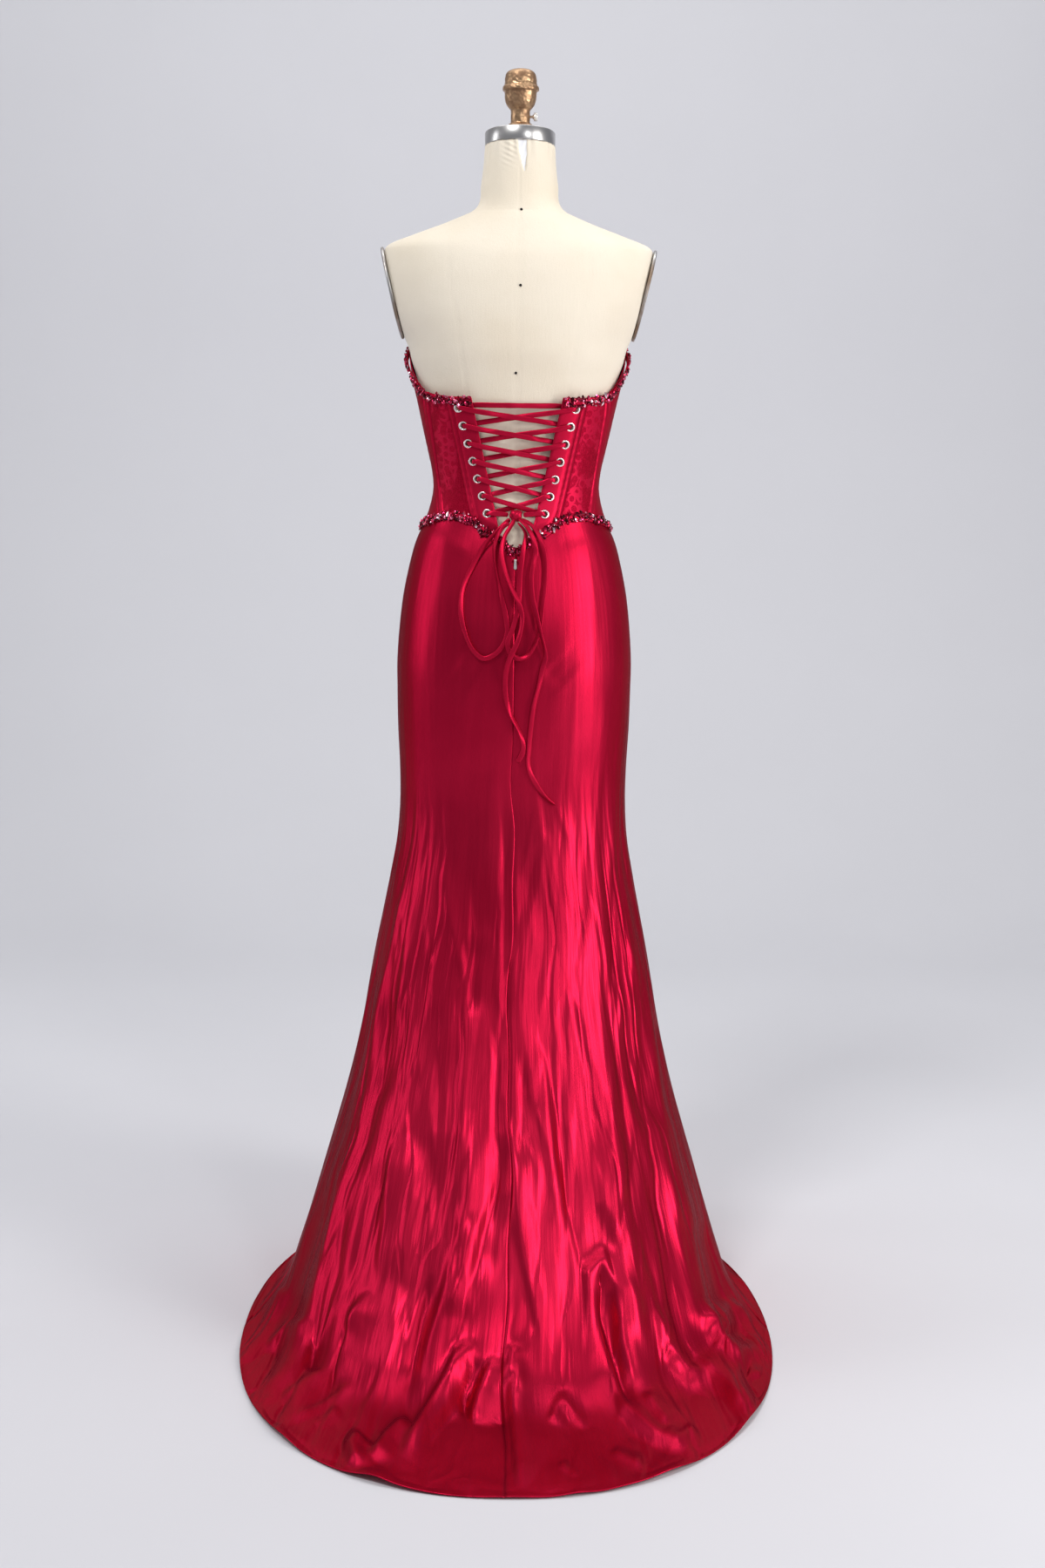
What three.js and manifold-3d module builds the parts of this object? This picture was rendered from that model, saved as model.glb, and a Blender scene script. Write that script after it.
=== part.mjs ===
// A mermaid prom dress with a laced corset back and a swept train, standing on a limbless dress form.
// Millimetres, +Z up. The laced back, with the train, faces +Y, and the form's stand rests on z = 0.
import * as THREE from "three";
import { mergeVertices } from "three/addons/utils/BufferGeometryUtils.js";
import Module from "manifold-3d";

const wasm = await Module();
wasm.setup();

const DEG = Math.PI / 180;
const SEAM = 0.3; // space between pieces that meet
const CLOTH = 2; // satin with its lining
const EASE = 1.5; // room between the form's cover and the cloth
const ROUND = 0.91; // fullness of an oval section: 1 is an ellipse, less is squarer

// Finishes, by the material slot that uses them
const FINISH = {
  satin: { color: 0xb4143c, roughness: 0.35, metalness: 0 },
  lace: { color: 0x98182e, roughness: 0.7, metalness: 0 },
  beads: { color: 0x8c1030, roughness: 0.25, metalness: 0.3 },
  canvas: { color: 0xf3ead8, roughness: 0.85, metalness: 0 },
  steel: { color: 0x9c9896, roughness: 0.35, metalness: 1 },
  brass: { color: 0xb08a5e, roughness: 0.45, metalness: 1 },
  stand: { color: 0x2a2a2c, roughness: 0.5, metalness: 0.4 },
};

const table = (columns, rows) =>
  rows.map((row) => Object.fromEntries(columns.map((name, i) => [name, row[i]])));

// The form's cover, section by section: half width, depth behind and before the pole, rise per mm of y
const BODY = table(
  ["z", "half", "back", "front", "tilt"],
  [
    [800, 150, 114, 97, 0],
    [830, 159, 123, 101, 0],
    [870, 162.4, 129.5, 104, 0],
    [911, 162.2, 130.5, 104, 0],
    [960, 159, 127.5, 104, 0],
    [1009, 153, 118.5, 102, 0],
    [1058, 142.5, 105.5, 98, 0],
    [1083, 135, 97.5, 95, 0],
    [1107, 124, 89.5, 92, 0],
    [1131, 116, 83.5, 90, 0],
    [1155, 112, 80.5, 89, 0],
    [1180, 114.3, 81.5, 92, 0],
    [1204, 119.5, 83.5, 97, 0],
    [1228, 125, 86.5, 104, 0],
    [1276, 135.6, 94.5, 123, 0],
    [1300, 141.5, 98.5, 132, 0],
    [1324, 147.5, 102, 135, 0],
    [1350, 153, 105, 128, 0],
    [1396, 176, 106, 110, 0],
    [1440, 187, 102, 91, 0],
    [1470, 187, 95, 79, 0],
    [1486, 181, 88, 72, 0],
    [1500, 147, 81, 66, 0],
    [1519, 96, 71, 60, 0],
    [1537, 60, 60, 59, 0],
    [1570, 53, 50, 56, 0.06],
    [1620, 47.5, 42, 53, 0.125],
  ],
);
const FITTED_TO = 911; // the cloth follows the form down to this height
const HIPS = { under: 1100, inset: 2.5 }; // under the skirt the form's faceted cover keeps further in
const BUST = { under: 1345, inset: 2.2 }; // and so it does in front

// The hanging skirt's outer surface: middle is how far behind the pole a section is widest
const FALL = table(
  ["v", "half", "middle", "back", "front"],
  [
    [100, 290.5, 41, 418, 237],
    [141, 278.5, 36, 388, 225],
    [192, 264, 31, 353, 211],
    [244, 249, 25, 320, 197],
    [295, 235, 19, 287, 183],
    [346, 222.5, 14, 256, 169],
    [397, 212, 8, 227, 156],
    [448, 203.8, 3, 201, 144],
    [500, 194.5, 0, 178, 133],
    [552, 184, 0, 158, 124],
    [603, 174, 0, 141, 116],
    [655, 165, 0, 128, 111],
    [706, 161.2, 0, 122, 108],
    [757, 161.5, 0, 123, 107],
    [820, 164.4, 0, 128.5, 107],
    [870, 165.4, 0, 132.5, 107],
  ],
);

// The skirt where it settles on the floor, with the height of each section at its side, back and front
const SETTLE = table(
  ["v", "half", "middle", "back", "front", "sideZ", "backZ", "frontZ"],
  [
    [-140, 364, 230, 719, 276, CLOTH, CLOTH, CLOTH],
    [-90, 354, 200, 656, 272, 2.6, 2.2, 4],
    [-40, 342, 155, 588, 268, 5, 3, 7],
    [0, 328, 110, 530, 263, 13, 8, 13],
    [30, 314, 72, 486, 256, 31, 28, 31],
    [60, 303.5, 50, 452, 248, 60, 60, 60],
  ],
);
const HEM = SETTLE[0].v;

// The dress from hem to neckline in one table: v is the height where the cloth hangs
const LEVEL = (row) => ({ ...row, sideZ: row.v, backZ: row.v, frontZ: row.v });
const WORN = BODY.filter((row) => row.z >= FITTED_TO && row.z < 1400).map((row) =>
  LEVEL({
    v: row.z,
    half: row.half + EASE + CLOTH,
    middle: 0,
    back: row.back + EASE + CLOTH,
    front: row.front + EASE + CLOTH,
  }),
);
const DRESS = [...SETTLE, ...FALL.map(LEVEL), ...WORN];

// The main folds: degrees from the centre back, towards +X; depth in mm; top is where a fold begins
const FOLDS = table(
  ["angle", "width", "depth", "top", "drift"],
  [
    [-84, 6, 9, 470, -2],
    [-66, 5.5, 13, 520, 3],
    [-49, 5.5, 11, 400, -4],
    [-34, 5, 14, 560, 4],
    [-19, 5, 11, 470, -3],
    [-2, 3.5, 7, 620, 1],
    [13, 5, 12, 520, 4],
    [29, 5, 13, 430, -3],
    [44, 5.5, 11, 560, 3],
    [60, 5.5, 14, 480, -4],
    [77, 6, 12, 420, 2],
    [118, 13, 10, 460, 0],
    [150, 12, 11, 520, 2],
    [180, 12, 10, 430, 0],
    [210, 12, 11, 500, -2],
    [242, 13, 10, 450, 0],
  ],
);
const FOLD_GROWS = 420; // a fold reaches its depth this far below its top
const FOLD_LAID = 0.35; // share of a fold's depth left at the hem

// Height of the neckline's edge and of the seam between corset and skirt, by degrees from the centre back
const NECKLINE = table(
  ["angle", "z"],
  [
    [0, 1281],
    [40, 1281],
    [55, 1284],
    [65, 1289],
    [75, 1303],
    [90, 1331],
    [115, 1352],
    [142, 1358],
    [162, 1348],
    [180, 1328],
  ],
);
const WAISTLINE = table(
  ["angle", "z"],
  [
    [0, 1070],
    [3, 1075],
    [7, 1087],
    [11, 1092],
    [17, 1097],
    [25, 1110],
    [41, 1118],
    [60, 1113],
    [90, 1102],
    [130, 1090],
    [180, 1066],
  ],
);

// Corset seams on the back: distance from the centre back at the neckline and at the waist
const SEAM_TOP = 1276;
const SEAM_LOW = 1110;
const SEAMS = {
  flap: { top: 60.5, low: 25 },
  innerA: { top: 89, low: 53 },
  innerB: { top: 97, low: 60 },
  outerA: { top: 122, low: 98 },
  outerB: { top: 128.5, low: 105 },
};
const FRONT_SEAM = 138; // degrees from the centre back to the princess seam in front
const CHANNEL = 1.2; // how far a boning channel stands above its neighbours
const CORSET_ROWS = 8;

// Lacing: the panels stand off the form so that the cord passes behind them
const STAND_OFF = 4.2;
const STAND_FULL = 20; // width beside the flap's edge at full stand-off
const STAND_END = 38; // width beside the flap's edge where it has gone
const LACE = 3.6; // cord diameter in the eyelets
const EYELET = { count: 7, topX: 78, lowX: 38.5, topZ: 1265.5, lowZ: 1121, bore: 4 };
const FLANGE = { radius: 7.2, seat: 0.8, height: 1.6 };
const HOLE = 4.9; // radius of the hole that an eyelet's barrel sits in
const KNOT = { z: 1118.5, out: 5.6, wide: 9.6, deep: 6.5, tall: 8 };
const BAR_Z = 1268.5; // the lacing's straight top run

const clamp = (t) => Math.min(1, Math.max(0, t));
const ease = (t) => clamp(t) ** 2 * (3 - 2 * clamp(t));
const mix = (a, b, t) => a + (b - a) * t;

// One column of a table at a place along its key, on a Hermite curve through the rows
function read(rows, key, column, at) {
  let k = 0;
  while (k < rows.length - 2 && rows[k + 1][key] < at) k++;
  const slope = (i) => {
    const a = rows[Math.max(0, i - 1)];
    const b = rows[Math.min(rows.length - 1, i + 1)];
    return (b[column] - a[column]) / (b[key] - a[key]);
  };
  const span = rows[k + 1][key] - rows[k][key];
  const t = clamp((at - rows[k][key]) / span);
  return (
    rows[k][column] * (1 + 2 * t) * (1 - t) ** 2 +
    span * slope(k) * t * (1 - t) ** 2 +
    rows[k + 1][column] * t * t * (3 - 2 * t) +
    span * slope(k + 1) * t * t * (t - 1)
  );
}

// Angle from the centre back in degrees, 0 to 180, alike on both sides
const folded = (phi) => Math.abs(Math.atan2(Math.sin(phi), Math.cos(phi))) / DEG;
const necklineAt = (phi) => read(NECKLINE, "angle", "z", folded(phi));
const waistAt = (phi) => read(WAISTLINE, "angle", "z", folded(phi));

// A point of an oval ring: phi runs from the centre back (+Y) towards +X
function oval(phi, half, back, front, middle) {
  const s = Math.sin(phi);
  const c = Math.cos(phi);
  const depth = c >= 0 ? back - middle : front + middle;
  return [
    half * Math.sign(s) * Math.abs(s) ** ROUND,
    middle + depth * Math.sign(c) * Math.abs(c) ** ROUND,
    c,
  ];
}

// The smooth outer surface of the dress, before folds
function dressPoint(phi, v) {
  const at = (column) => read(DRESS, "v", column, v);
  const [x, y, c] = oval(phi, at("half"), at("back"), at("front"), at("middle"));
  const side = at("sideZ");
  const end = c >= 0 ? at("backZ") : at("frontZ");
  return new THREE.Vector3(x, y, side + c * c * (end - side));
}

function dressNormal(phi, v) {
  const step = 1e-3;
  const along = dressPoint(phi + step, v).sub(dressPoint(phi - step, v));
  const low = Math.max(HEM, v - 1);
  const up = dressPoint(phi, v + 1).sub(dressPoint(phi, low));
  return up.cross(along).normalize();
}

// How far the folds raise the skirt at a place
function foldLift(phi, v) {
  let lift = 0;
  for (const fold of FOLDS) {
    const centre = fold.angle + fold.drift * clamp((300 - v) / 440);
    let away = phi / DEG - centre;
    away -= 360 * Math.round(away / 360);
    const grown = ease((fold.top - v) / FOLD_GROWS);
    const laid = mix(FOLD_LAID, 1, ease((v - HEM) / 130));
    lift += fold.depth * grown * laid * Math.exp(-((away / fold.width) ** 2));
  }
  return lift;
}

// The angle at which the corset is this far from the centre back
function phiAt(x, z) {
  const share = Math.min(1, Math.abs(x) / read(DRESS, "v", "half", z));
  return Math.sign(x) * Math.asin(share ** (1 / ROUND));
}
const seamX = (seam, z) => mix(seam.low, seam.top, (z - SEAM_LOW) / (SEAM_TOP - SEAM_LOW));

// The stand-off of the lacing panels
function corsetLift(phi, z) {
  if (z < SEAM_LOW - 60 || folded(phi) > 90) return 0;
  const away = Math.abs(dressPoint(phi, z).x) - seamX(SEAMS.flap, z);
  const beside = 1 - ease((away - STAND_FULL) / (STAND_END - STAND_FULL));
  return STAND_OFF * beside * ease((z - waistAt(phi)) / 16);
}

// A point over the dress at (phi, v), out mm above its outer face
function over(phi, v, out = 0) {
  const lift = v > SEAM_LOW - 60 ? corsetLift(phi, v) : foldLift(phi, v);
  const point = dressPoint(phi, v).addScaledVector(dressNormal(phi, v), lift + out);
  point.z = Math.max(0, point.z);
  return point;
}

// Geometry from shared points and faces
function solidFrom(points, faces) {
  const geometry = new THREE.BufferGeometry().setFromPoints(points);
  geometry.setIndex(faces);
  return geometry;
}

// A closed wall between an outer and an inner sheet, each a function of across and up, both 0 to 1
function wall(across, up, outer, inner) {
  const points = [];
  for (const sheet of [outer, inner])
    for (let j = 0; j <= up; j++)
      for (let i = 0; i <= across; i++) points.push(sheet(i / across, j / up));
  const at = (side, i, j) => (side * (up + 1) + j) * (across + 1) + i;
  const faces = [];
  const quad = (a, b, c, d) => faces.push(a, b, c, a, c, d);
  for (let j = 0; j < up; j++) {
    for (let i = 0; i < across; i++) {
      quad(at(0, i, j), at(0, i, j + 1), at(0, i + 1, j + 1), at(0, i + 1, j));
      quad(at(1, i, j), at(1, i + 1, j), at(1, i + 1, j + 1), at(1, i, j + 1));
    }
    quad(at(0, 0, j + 1), at(0, 0, j), at(1, 0, j), at(1, 0, j + 1));
    quad(at(0, across, j + 1), at(1, across, j + 1), at(1, across, j), at(0, across, j));
  }
  for (let i = 0; i < across; i++) {
    quad(at(0, i, 0), at(0, i + 1, 0), at(1, i + 1, 0), at(1, i, 0));
    quad(at(0, i + 1, up), at(0, i, up), at(1, i, up), at(1, i + 1, up));
  }
  return solidFrom(points, faces);
}

// A solid over a row of rings of points, with flat ends, or joined end to end where it loops
function skinned(rings, loops = false) {
  const around = rings[0].length;
  const points = rings.flat();
  const faces = [];
  const at = (k, i) => (k % rings.length) * around + (i % around);
  const last = loops ? rings.length : rings.length - 1;
  for (let k = 0; k < last; k++)
    for (let i = 0; i < around; i++)
      faces.push(at(k, i), at(k + 1, i), at(k + 1, i + 1), at(k, i), at(k + 1, i + 1), at(k, i + 1));
  if (!loops)
    for (const [k, turn] of [[0, 0], [rings.length - 1, 1]]) {
      const centre = rings[k].reduce((sum, p) => sum.add(p), new THREE.Vector3()).divideScalar(around);
      points.push(centre);
      for (let i = 0; i < around; i++)
        faces.push(points.length - 1, at(k, i + turn), at(k, i + 1 - turn));
    }
  return solidFrom(points, faces);
}

// A round cord through the given points, each with its own ring
function cordThrough(path, radius, sides) {
  const tangents = path.map((p, i) => {
    const ahead = path[Math.min(i + 1, path.length - 1)];
    return ahead.clone().sub(path[Math.max(i - 1, 0)]).normalize();
  });
  let normal = new THREE.Vector3(0, 0, 1);
  const rings = path.map((p, i) => {
    normal = normal.clone().addScaledVector(tangents[i], -normal.dot(tangents[i])).normalize();
    const side = tangents[i].clone().cross(normal);
    return Array.from({ length: sides }, (_, k) => {
      const turn = (k / sides) * 2 * Math.PI;
      return p
        .clone()
        .addScaledVector(normal, radius * Math.cos(turn))
        .addScaledVector(side, -radius * Math.sin(turn));
    });
  });
  return skinned(rings);
}

// Joins and cuts
function toSolid(geometry) {
  const bare = new THREE.BufferGeometry().setAttribute("position", geometry.getAttribute("position"));
  bare.setIndex(geometry.index);
  const merged = mergeVertices(bare, 1e-4);
  return new wasm.Manifold(
    new wasm.Mesh({
      numProp: 3,
      vertProperties: merged.attributes.position.array,
      triVerts: new Uint32Array(merged.index.array),
    }),
  );
}
function fromSolid(solid) {
  const mesh = solid.getMesh();
  const geometry = new THREE.BufferGeometry();
  geometry.setAttribute("position", new THREE.BufferAttribute(mesh.vertProperties, 3));
  geometry.setIndex(new THREE.BufferAttribute(mesh.triVerts, 1));
  return geometry;
}
const cut = (body, tools) =>
  fromSolid(tools.reduce((left, tool) => left.subtract(toSolid(tool)), toSolid(body)));
const join = (pieces) => fromSolid(pieces.map(toSolid).reduce((all, piece) => all.add(piece)));

const part = new THREE.Group();

function add(name, geometry, finish) {
  const mesh = new THREE.Mesh(geometry, new THREE.MeshStandardMaterial(FINISH[finish]));
  mesh.name = name;
  part.add(mesh);
}

// Turns a geometry made round +Y so that +Y points along an axis, and puts its origin at a place
function aim(geometry, axis, place) {
  const turn = new THREE.Quaternion().setFromUnitVectors(new THREE.Vector3(0, 1, 0), axis);
  return geometry.applyQuaternion(turn).translate(place.x, place.y, place.z);
}

// The dress form: covered torso, neck ring, finial, thumbscrew, arm plates, pole and base
const NECK_TILT = Math.atan(0.125);
const RING = { radius: 48.5, height: 20, y: -5.5, low: BODY.at(-1).z + SEAM };
const PLATE = { x: 172.5, z: 1422, slope: 13.3 * DEG, tall: 64, deep: 46, thick: 5 };
const SCREW = { z: 1660.3, shank: 1.7, bore: 2.1, from: -7.8, head: -18.6, headRadius: 5.7, end: -23.6 };
const POLE = { radius: 16, top: BODY[0].z - SEAM };
const BASE = { radius: 180, edge: 12, hub: 30, hubTop: 60 };

// An oval disc like the arm plates, with its face towards +Y before it is aimed
function plateDisc(from, to) {
  const disc = new THREE.CylinderGeometry(1, 1, to - from, 24);
  disc.scale(PLATE.deep, 1, PLATE.tall);
  disc.translate(0, (from + to) / 2, 0);
  return disc;
}

function armPlate(side) {
  const axis = new THREE.Vector3(side * Math.cos(PLATE.slope), 0, -Math.sin(PLATE.slope));
  return { axis, place: new THREE.Vector3(side * PLATE.x, 0, PLATE.z) };
}

function torso() {
  const around = 24;
  const rings = BODY.map(({ z, half, back, front, tilt }) => {
    const inset = z < HIPS.under ? HIPS.inset : 0;
    const bust = z < BUST.under ? BUST.inset : 0;
    return Array.from({ length: around }, (_, i) => {
      const phi = (i / around) * 2 * Math.PI;
      const [x, y] = oval(phi, half - inset, back - inset, front - inset - bust, 0);
      return new THREE.Vector3(x, y, z + tilt * y);
    });
  });
  const cutters = [1, -1].map((side) => {
    const { axis, place } = armPlate(side);
    const block = new THREE.BoxGeometry(200, 60, 260).translate(0, 30, 0);
    return aim(block, axis, place);
  });
  return cut(skinned(rings), cutters);
}

function neckRing(grow) {
  const ring = new THREE.CylinderGeometry(RING.radius + grow, RING.radius + grow, RING.height, 32);
  ring.rotateX(Math.PI / 2).translate(0, 0, RING.height / 2);
  ring.rotateX(NECK_TILT).translate(0, RING.y, RING.low + 0.125 * RING.y);
  return ring;
}

// A round piece about the vertical axis, from rows of radius and height
function turned(rows, segments) {
  const profile = rows.map(([radius, z]) => new THREE.Vector2(radius, z));
  return new THREE.LatheGeometry(profile, segments).rotateX(Math.PI / 2);
}

function finial() {
  const outline = turned(
    [
      [0, 1631],
      [18, 1631],
      [18, 1648.5],
      [16, 1650.5],
      [13.2, 1652],
      [13.2, 1668],
      [17, 1672],
      [21, 1681],
      [22, 1692],
      [25, 1694.5],
      [25, 1700],
      [22.5, 1703],
      [21.5, 1712],
      [19, 1719],
      [12, 1723],
      [0, 1724],
    ],
    24,
  );
  const bore = new THREE.CylinderGeometry(SCREW.bore, SCREW.bore, 12, 12);
  bore.rotateZ(Math.PI / 2).translate(SCREW.from + 0.4 - 6, 0, SCREW.z);
  const seat = neckRing(10).translate(0, 0, SEAM + 0.02);
  return cut(outline, [seat, bore]);
}

function thumbscrew() {
  const length = SCREW.from - SCREW.head + 1;
  const shank = new THREE.CylinderGeometry(SCREW.shank, SCREW.shank, length, 10);
  shank.rotateZ(Math.PI / 2).translate(SCREW.from - length / 2, 0, SCREW.z);
  const thick = SCREW.head - SCREW.end;
  const head = new THREE.CylinderGeometry(SCREW.headRadius, SCREW.headRadius, thick, 14);
  head.rotateZ(Math.PI / 2).translate(SCREW.head - thick / 2, 0, SCREW.z);
  return join([shank, head]);
}

add("form_torso", torso(), "canvas");
add("form_neck_ring", neckRing(0), "steel");
add("form_finial", finial(), "brass");
add("clamp_screw", thumbscrew(), "steel");
for (const [word, side] of [["left", 1], ["right", -1]]) {
  const { axis, place } = armPlate(side);
  add("form_arm_plate_" + word, aim(plateDisc(SEAM, PLATE.thick), axis, place), "steel");
}
add(
  "stand_pole",
  new THREE.CylinderGeometry(POLE.radius, POLE.radius, POLE.top - BASE.hubTop - SEAM, 16)
    .rotateX(Math.PI / 2)
    .translate(0, 0, (POLE.top + BASE.hubTop + SEAM) / 2),
  "stand",
);
add(
  "stand_base",
  turned([[0, 0], [BASE.radius, 0], [BASE.radius, BASE.edge], [BASE.hub, 34], [BASE.hub, 60], [0, 60]], 32),
  "stand",
);

// A cloth panel between two edges, each an angle at a height, and between two heights, each at an angle
function panel({ across, up, left, right, low, high, spread = 1, raised = 0, lining = CLOTH }) {
  const place = (s, t) => {
    let phi = mix(left(high(0)), right(high(0)), s);
    let v = 0;
    for (let pass = 0; pass < 3; pass++) {
      v = mix(low(phi), high(phi), t ** spread);
      phi = mix(left(v), right(v), s);
    }
    const speed = dressPoint(phi + 1e-3, v).distanceTo(dressPoint(phi, v)) / 1e-3;
    const inset = (SEAM / 2 / speed) * (1 - 2 * s);
    const edge = s === 0 || s === 1 ? inset : 0;
    return [phi + edge, v];
  };
  const outer = (s, t) => over(...place(s, t), raised);
  const inner = (s, t) => over(...place(s, t), -lining);
  return wall(across, up, outer, inner);
}

// Skirt: two backs joined at the centre back seam, and a front
const SIDE_SEAM = 90 * DEG;
const SKIRT_ROWS = 22;
const WAIST_GAP = 0.5;
const skirtTop = (phi) => waistAt(phi) - WAIST_GAP / 2;
function skirt(name, from, to, across) {
  const shape = { across, up: SKIRT_ROWS, spread: 1.35, low: () => HEM, high: skirtTop };
  add(name, panel({ ...shape, left: () => from, right: () => to }), "satin");
}
skirt("skirt_back_left", 0, SIDE_SEAM, 22);
skirt("skirt_back_right", -SIDE_SEAM, 0, 22);
skirt("skirt_front", SIDE_SEAM, 2 * Math.PI - SIDE_SEAM, 14);

// Corset: panels from the lacing gap round to the front, alike on both sides
const corsetLow = (phi) => waistAt(phi) + WAIST_GAP / 2;
const atSeam = (seam, side) => (z) => side * phiAt(seamX(seam, z), z);
const atAngle = (angle, side) => () => side * angle * DEG;

function corsetPanel(name, edges, side, across, finish, extra = {}) {
  const edgeLine = (edge) => (typeof edge === "number" ? atAngle : atSeam)(edge, side);
  const [near, far] = edges.map(edgeLine);
  const [left, right] = side > 0 ? [near, far] : [far, near];
  const shape = { across, up: CORSET_ROWS, left, right, low: corsetLow, high: necklineAt, ...extra };
  return { name, geometry: panel(shape), finish };
}

// An eyelet's place on the outer face: point, normal, and the direction to the centre back
function eyeletFrame(row, side) {
  const t = row / (EYELET.count - 1);
  const z = mix(EYELET.topZ, EYELET.lowZ, t);
  const phi = phiAt(side * mix(EYELET.topX, EYELET.lowX, t), z);
  const point = over(phi, z);
  const normal = dressNormal(phi, z);
  const inward = over(phi - side * 0.02, z).sub(point).normalize();
  return { point, normal, inward, z };
}

function eyelet({ point, normal }) {
  const { bore } = EYELET;
  const { radius: flange, seat, height } = FLANGE;
  const rows = [
    [bore, -CLOTH],
    [bore + 0.5, -CLOTH],
    [bore + 0.5, seat],
    [flange, seat],
    [bore, height],
    [bore, -CLOTH],
  ];
  const profile = rows.map(([radius, y]) => new THREE.Vector2(radius, y));
  return aim(new THREE.LatheGeometry(profile, 8), normal, point);
}

for (const [word, side] of [["left", 1], ["right", -1]]) {
  const frames = Array.from({ length: EYELET.count }, (_, row) => eyeletFrame(row, side));
  const holes = frames.map(({ point, normal }) =>
    aim(new THREE.CylinderGeometry(HOLE, HOLE, 12, 8), normal, point),
  );
  const boned = { raised: CHANNEL };
  const pieces = [
    corsetPanel("lacing_panel_" + word, [SEAMS.flap, SEAMS.innerA], side, 4, "satin"),
    corsetPanel("inner_boning_" + word, [SEAMS.innerA, SEAMS.innerB], side, 1, "satin", boned),
    corsetPanel("lace_panel_" + word, [SEAMS.innerB, SEAMS.outerA], side, 4, "lace"),
    corsetPanel("outer_boning_" + word, [SEAMS.outerA, SEAMS.outerB], side, 2, "satin", boned),
    corsetPanel("side_panel_" + word, [SEAMS.outerB, 90], side, 4, "satin"),
    corsetPanel("front_side_panel_" + word, [90, FRONT_SEAM], side, 6, "satin"),
  ];
  pieces[0].geometry = cut(pieces[0].geometry, holes);
  for (const piece of pieces) add(piece.name, piece.geometry, piece.finish);
  frames.forEach((frame, row) => add(`eyelet_${word}_${row + 1}`, eyelet(frame), "steel"));
}
add(
  "front_centre_panel",
  panel({
    across: 10,
    up: CORSET_ROWS,
    left: atAngle(FRONT_SEAM, 1),
    right: atAngle(360 - FRONT_SEAM, 1),
    low: corsetLow,
    high: necklineAt,
  }),
  "satin",
);

// Beaded trim: a padded band on an edge line, its crown raised bead by bead
const TRIM = { half: 4.4, crown: 2.6, seat: CHANNEL + 2 * SEAM, height: 4.4, bead: 1.3 };
function trimBand(line, from, to, steps, loops) {
  const count = loops ? steps : steps + 1;
  const rings = Array.from({ length: count }, (_, k) => {
    const phi = mix(from, to, k / steps);
    const z = line(phi);
    const crown = TRIM.height + (k % 2) * TRIM.bead;
    return [
      over(phi, z + TRIM.crown, crown),
      over(phi, z - TRIM.crown, crown),
      over(phi, z - TRIM.half, TRIM.seat),
      over(phi, z + TRIM.half, TRIM.seat),
    ];
  });
  return skinned(rings, loops);
}
const flapEnd = phiAt(seamX(SEAMS.flap, NECKLINE[0].z) + 1, NECKLINE[0].z);
const underEdge = (phi) => necklineAt(phi) - 1.5;
add("neckline_trim", trimBand(underEdge, flapEnd, 2 * Math.PI - flapEnd, 72, false), "beads");
add("waist_trim", trimBand(waistAt, 0, 2 * Math.PI, 96, true), "beads");

// Lacing: each half comes up out of an eyelet, over its flap, and goes down under the other flap
const ROUND_EYELET = [[6.5, -4.7], [1.2, -4.2], [-0.6, -1.8], [-0.6, 0.8], [1, 3.4], [6.5, 4]];
const roundEyelet = ({ point, normal, inward }) =>
  ROUND_EYELET.map(([along, out]) =>
    point.clone().addScaledVector(inward, along).addScaledVector(normal, out),
  );

// A point in the lacing gap, out mm above the dress's smooth surface
function inGap(x, z, out) {
  const phi = phiAt(x, z);
  return dressPoint(phi, z).addScaledVector(dressNormal(phi, z), out);
}

const OVER_FLAP = STAND_OFF + 2.3;
const UNDER_FLAP = STAND_OFF - CLOTH - 2.5;
const CROSS = { over: 4, under: -0.3, nearOver: 5.3, nearUnder: 2.9, farOver: 1.6 };

function lacingHalf(startSide, overFirst) {
  const path = [];
  const startX = EYELET.topX - 8;
  if (startSide > 0) {
    path.push(inGap(-startX, BAR_Z - 2, UNDER_FLAP));
    for (const x of [-1, -0.5, 0, 0.5, 1])
      path.push(inGap(x * seamX(SEAMS.flap, BAR_Z), BAR_Z, UNDER_FLAP));
  } else path.push(inGap(-startX - SEAM - 0.6, BAR_Z - 2.6, UNDER_FLAP));
  let side = startSide;
  for (let row = 0; row < EYELET.count; row++) {
    const frame = eyeletFrame(row, side);
    path.push(...roundEyelet(frame));
    if (row === EYELET.count - 1) break;
    const next = eyeletFrame(row + 1, -side);
    const onTop = (row % 2 === 0) === overFirst;
    const heights = onTop
      ? [OVER_FLAP, CROSS.nearOver, CROSS.over, CROSS.farOver, UNDER_FLAP]
      : [OVER_FLAP, CROSS.nearUnder, CROSS.under, CROSS.under, UNDER_FLAP];
    const reach = Math.abs(frame.point.x) + Math.abs(next.point.x);
    [1, 0.5, 0, -0.5, -1].forEach((share, i) => {
      const x = side * share * seamX(SEAMS.flap, (frame.z + next.z) / 2);
      const z = mix(frame.z, next.z, Math.abs(frame.point.x - x) / reach);
      path.push(inGap(x, z, heights[i]));
    });
    side = -side;
  }
  path.push(inGap(side * 20, KNOT.z + 1.6, OVER_FLAP));
  path.push(inGap(side * (KNOT.wide + 2 * SEAM), KNOT.z + 1, KNOT.out + 0.5));
  return cordThrough(path, LACE / 2, 6);
}
add("lacing_left", lacingHalf(1, true), "satin");
add("lacing_right", lacingHalf(-1, false), "satin");

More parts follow.
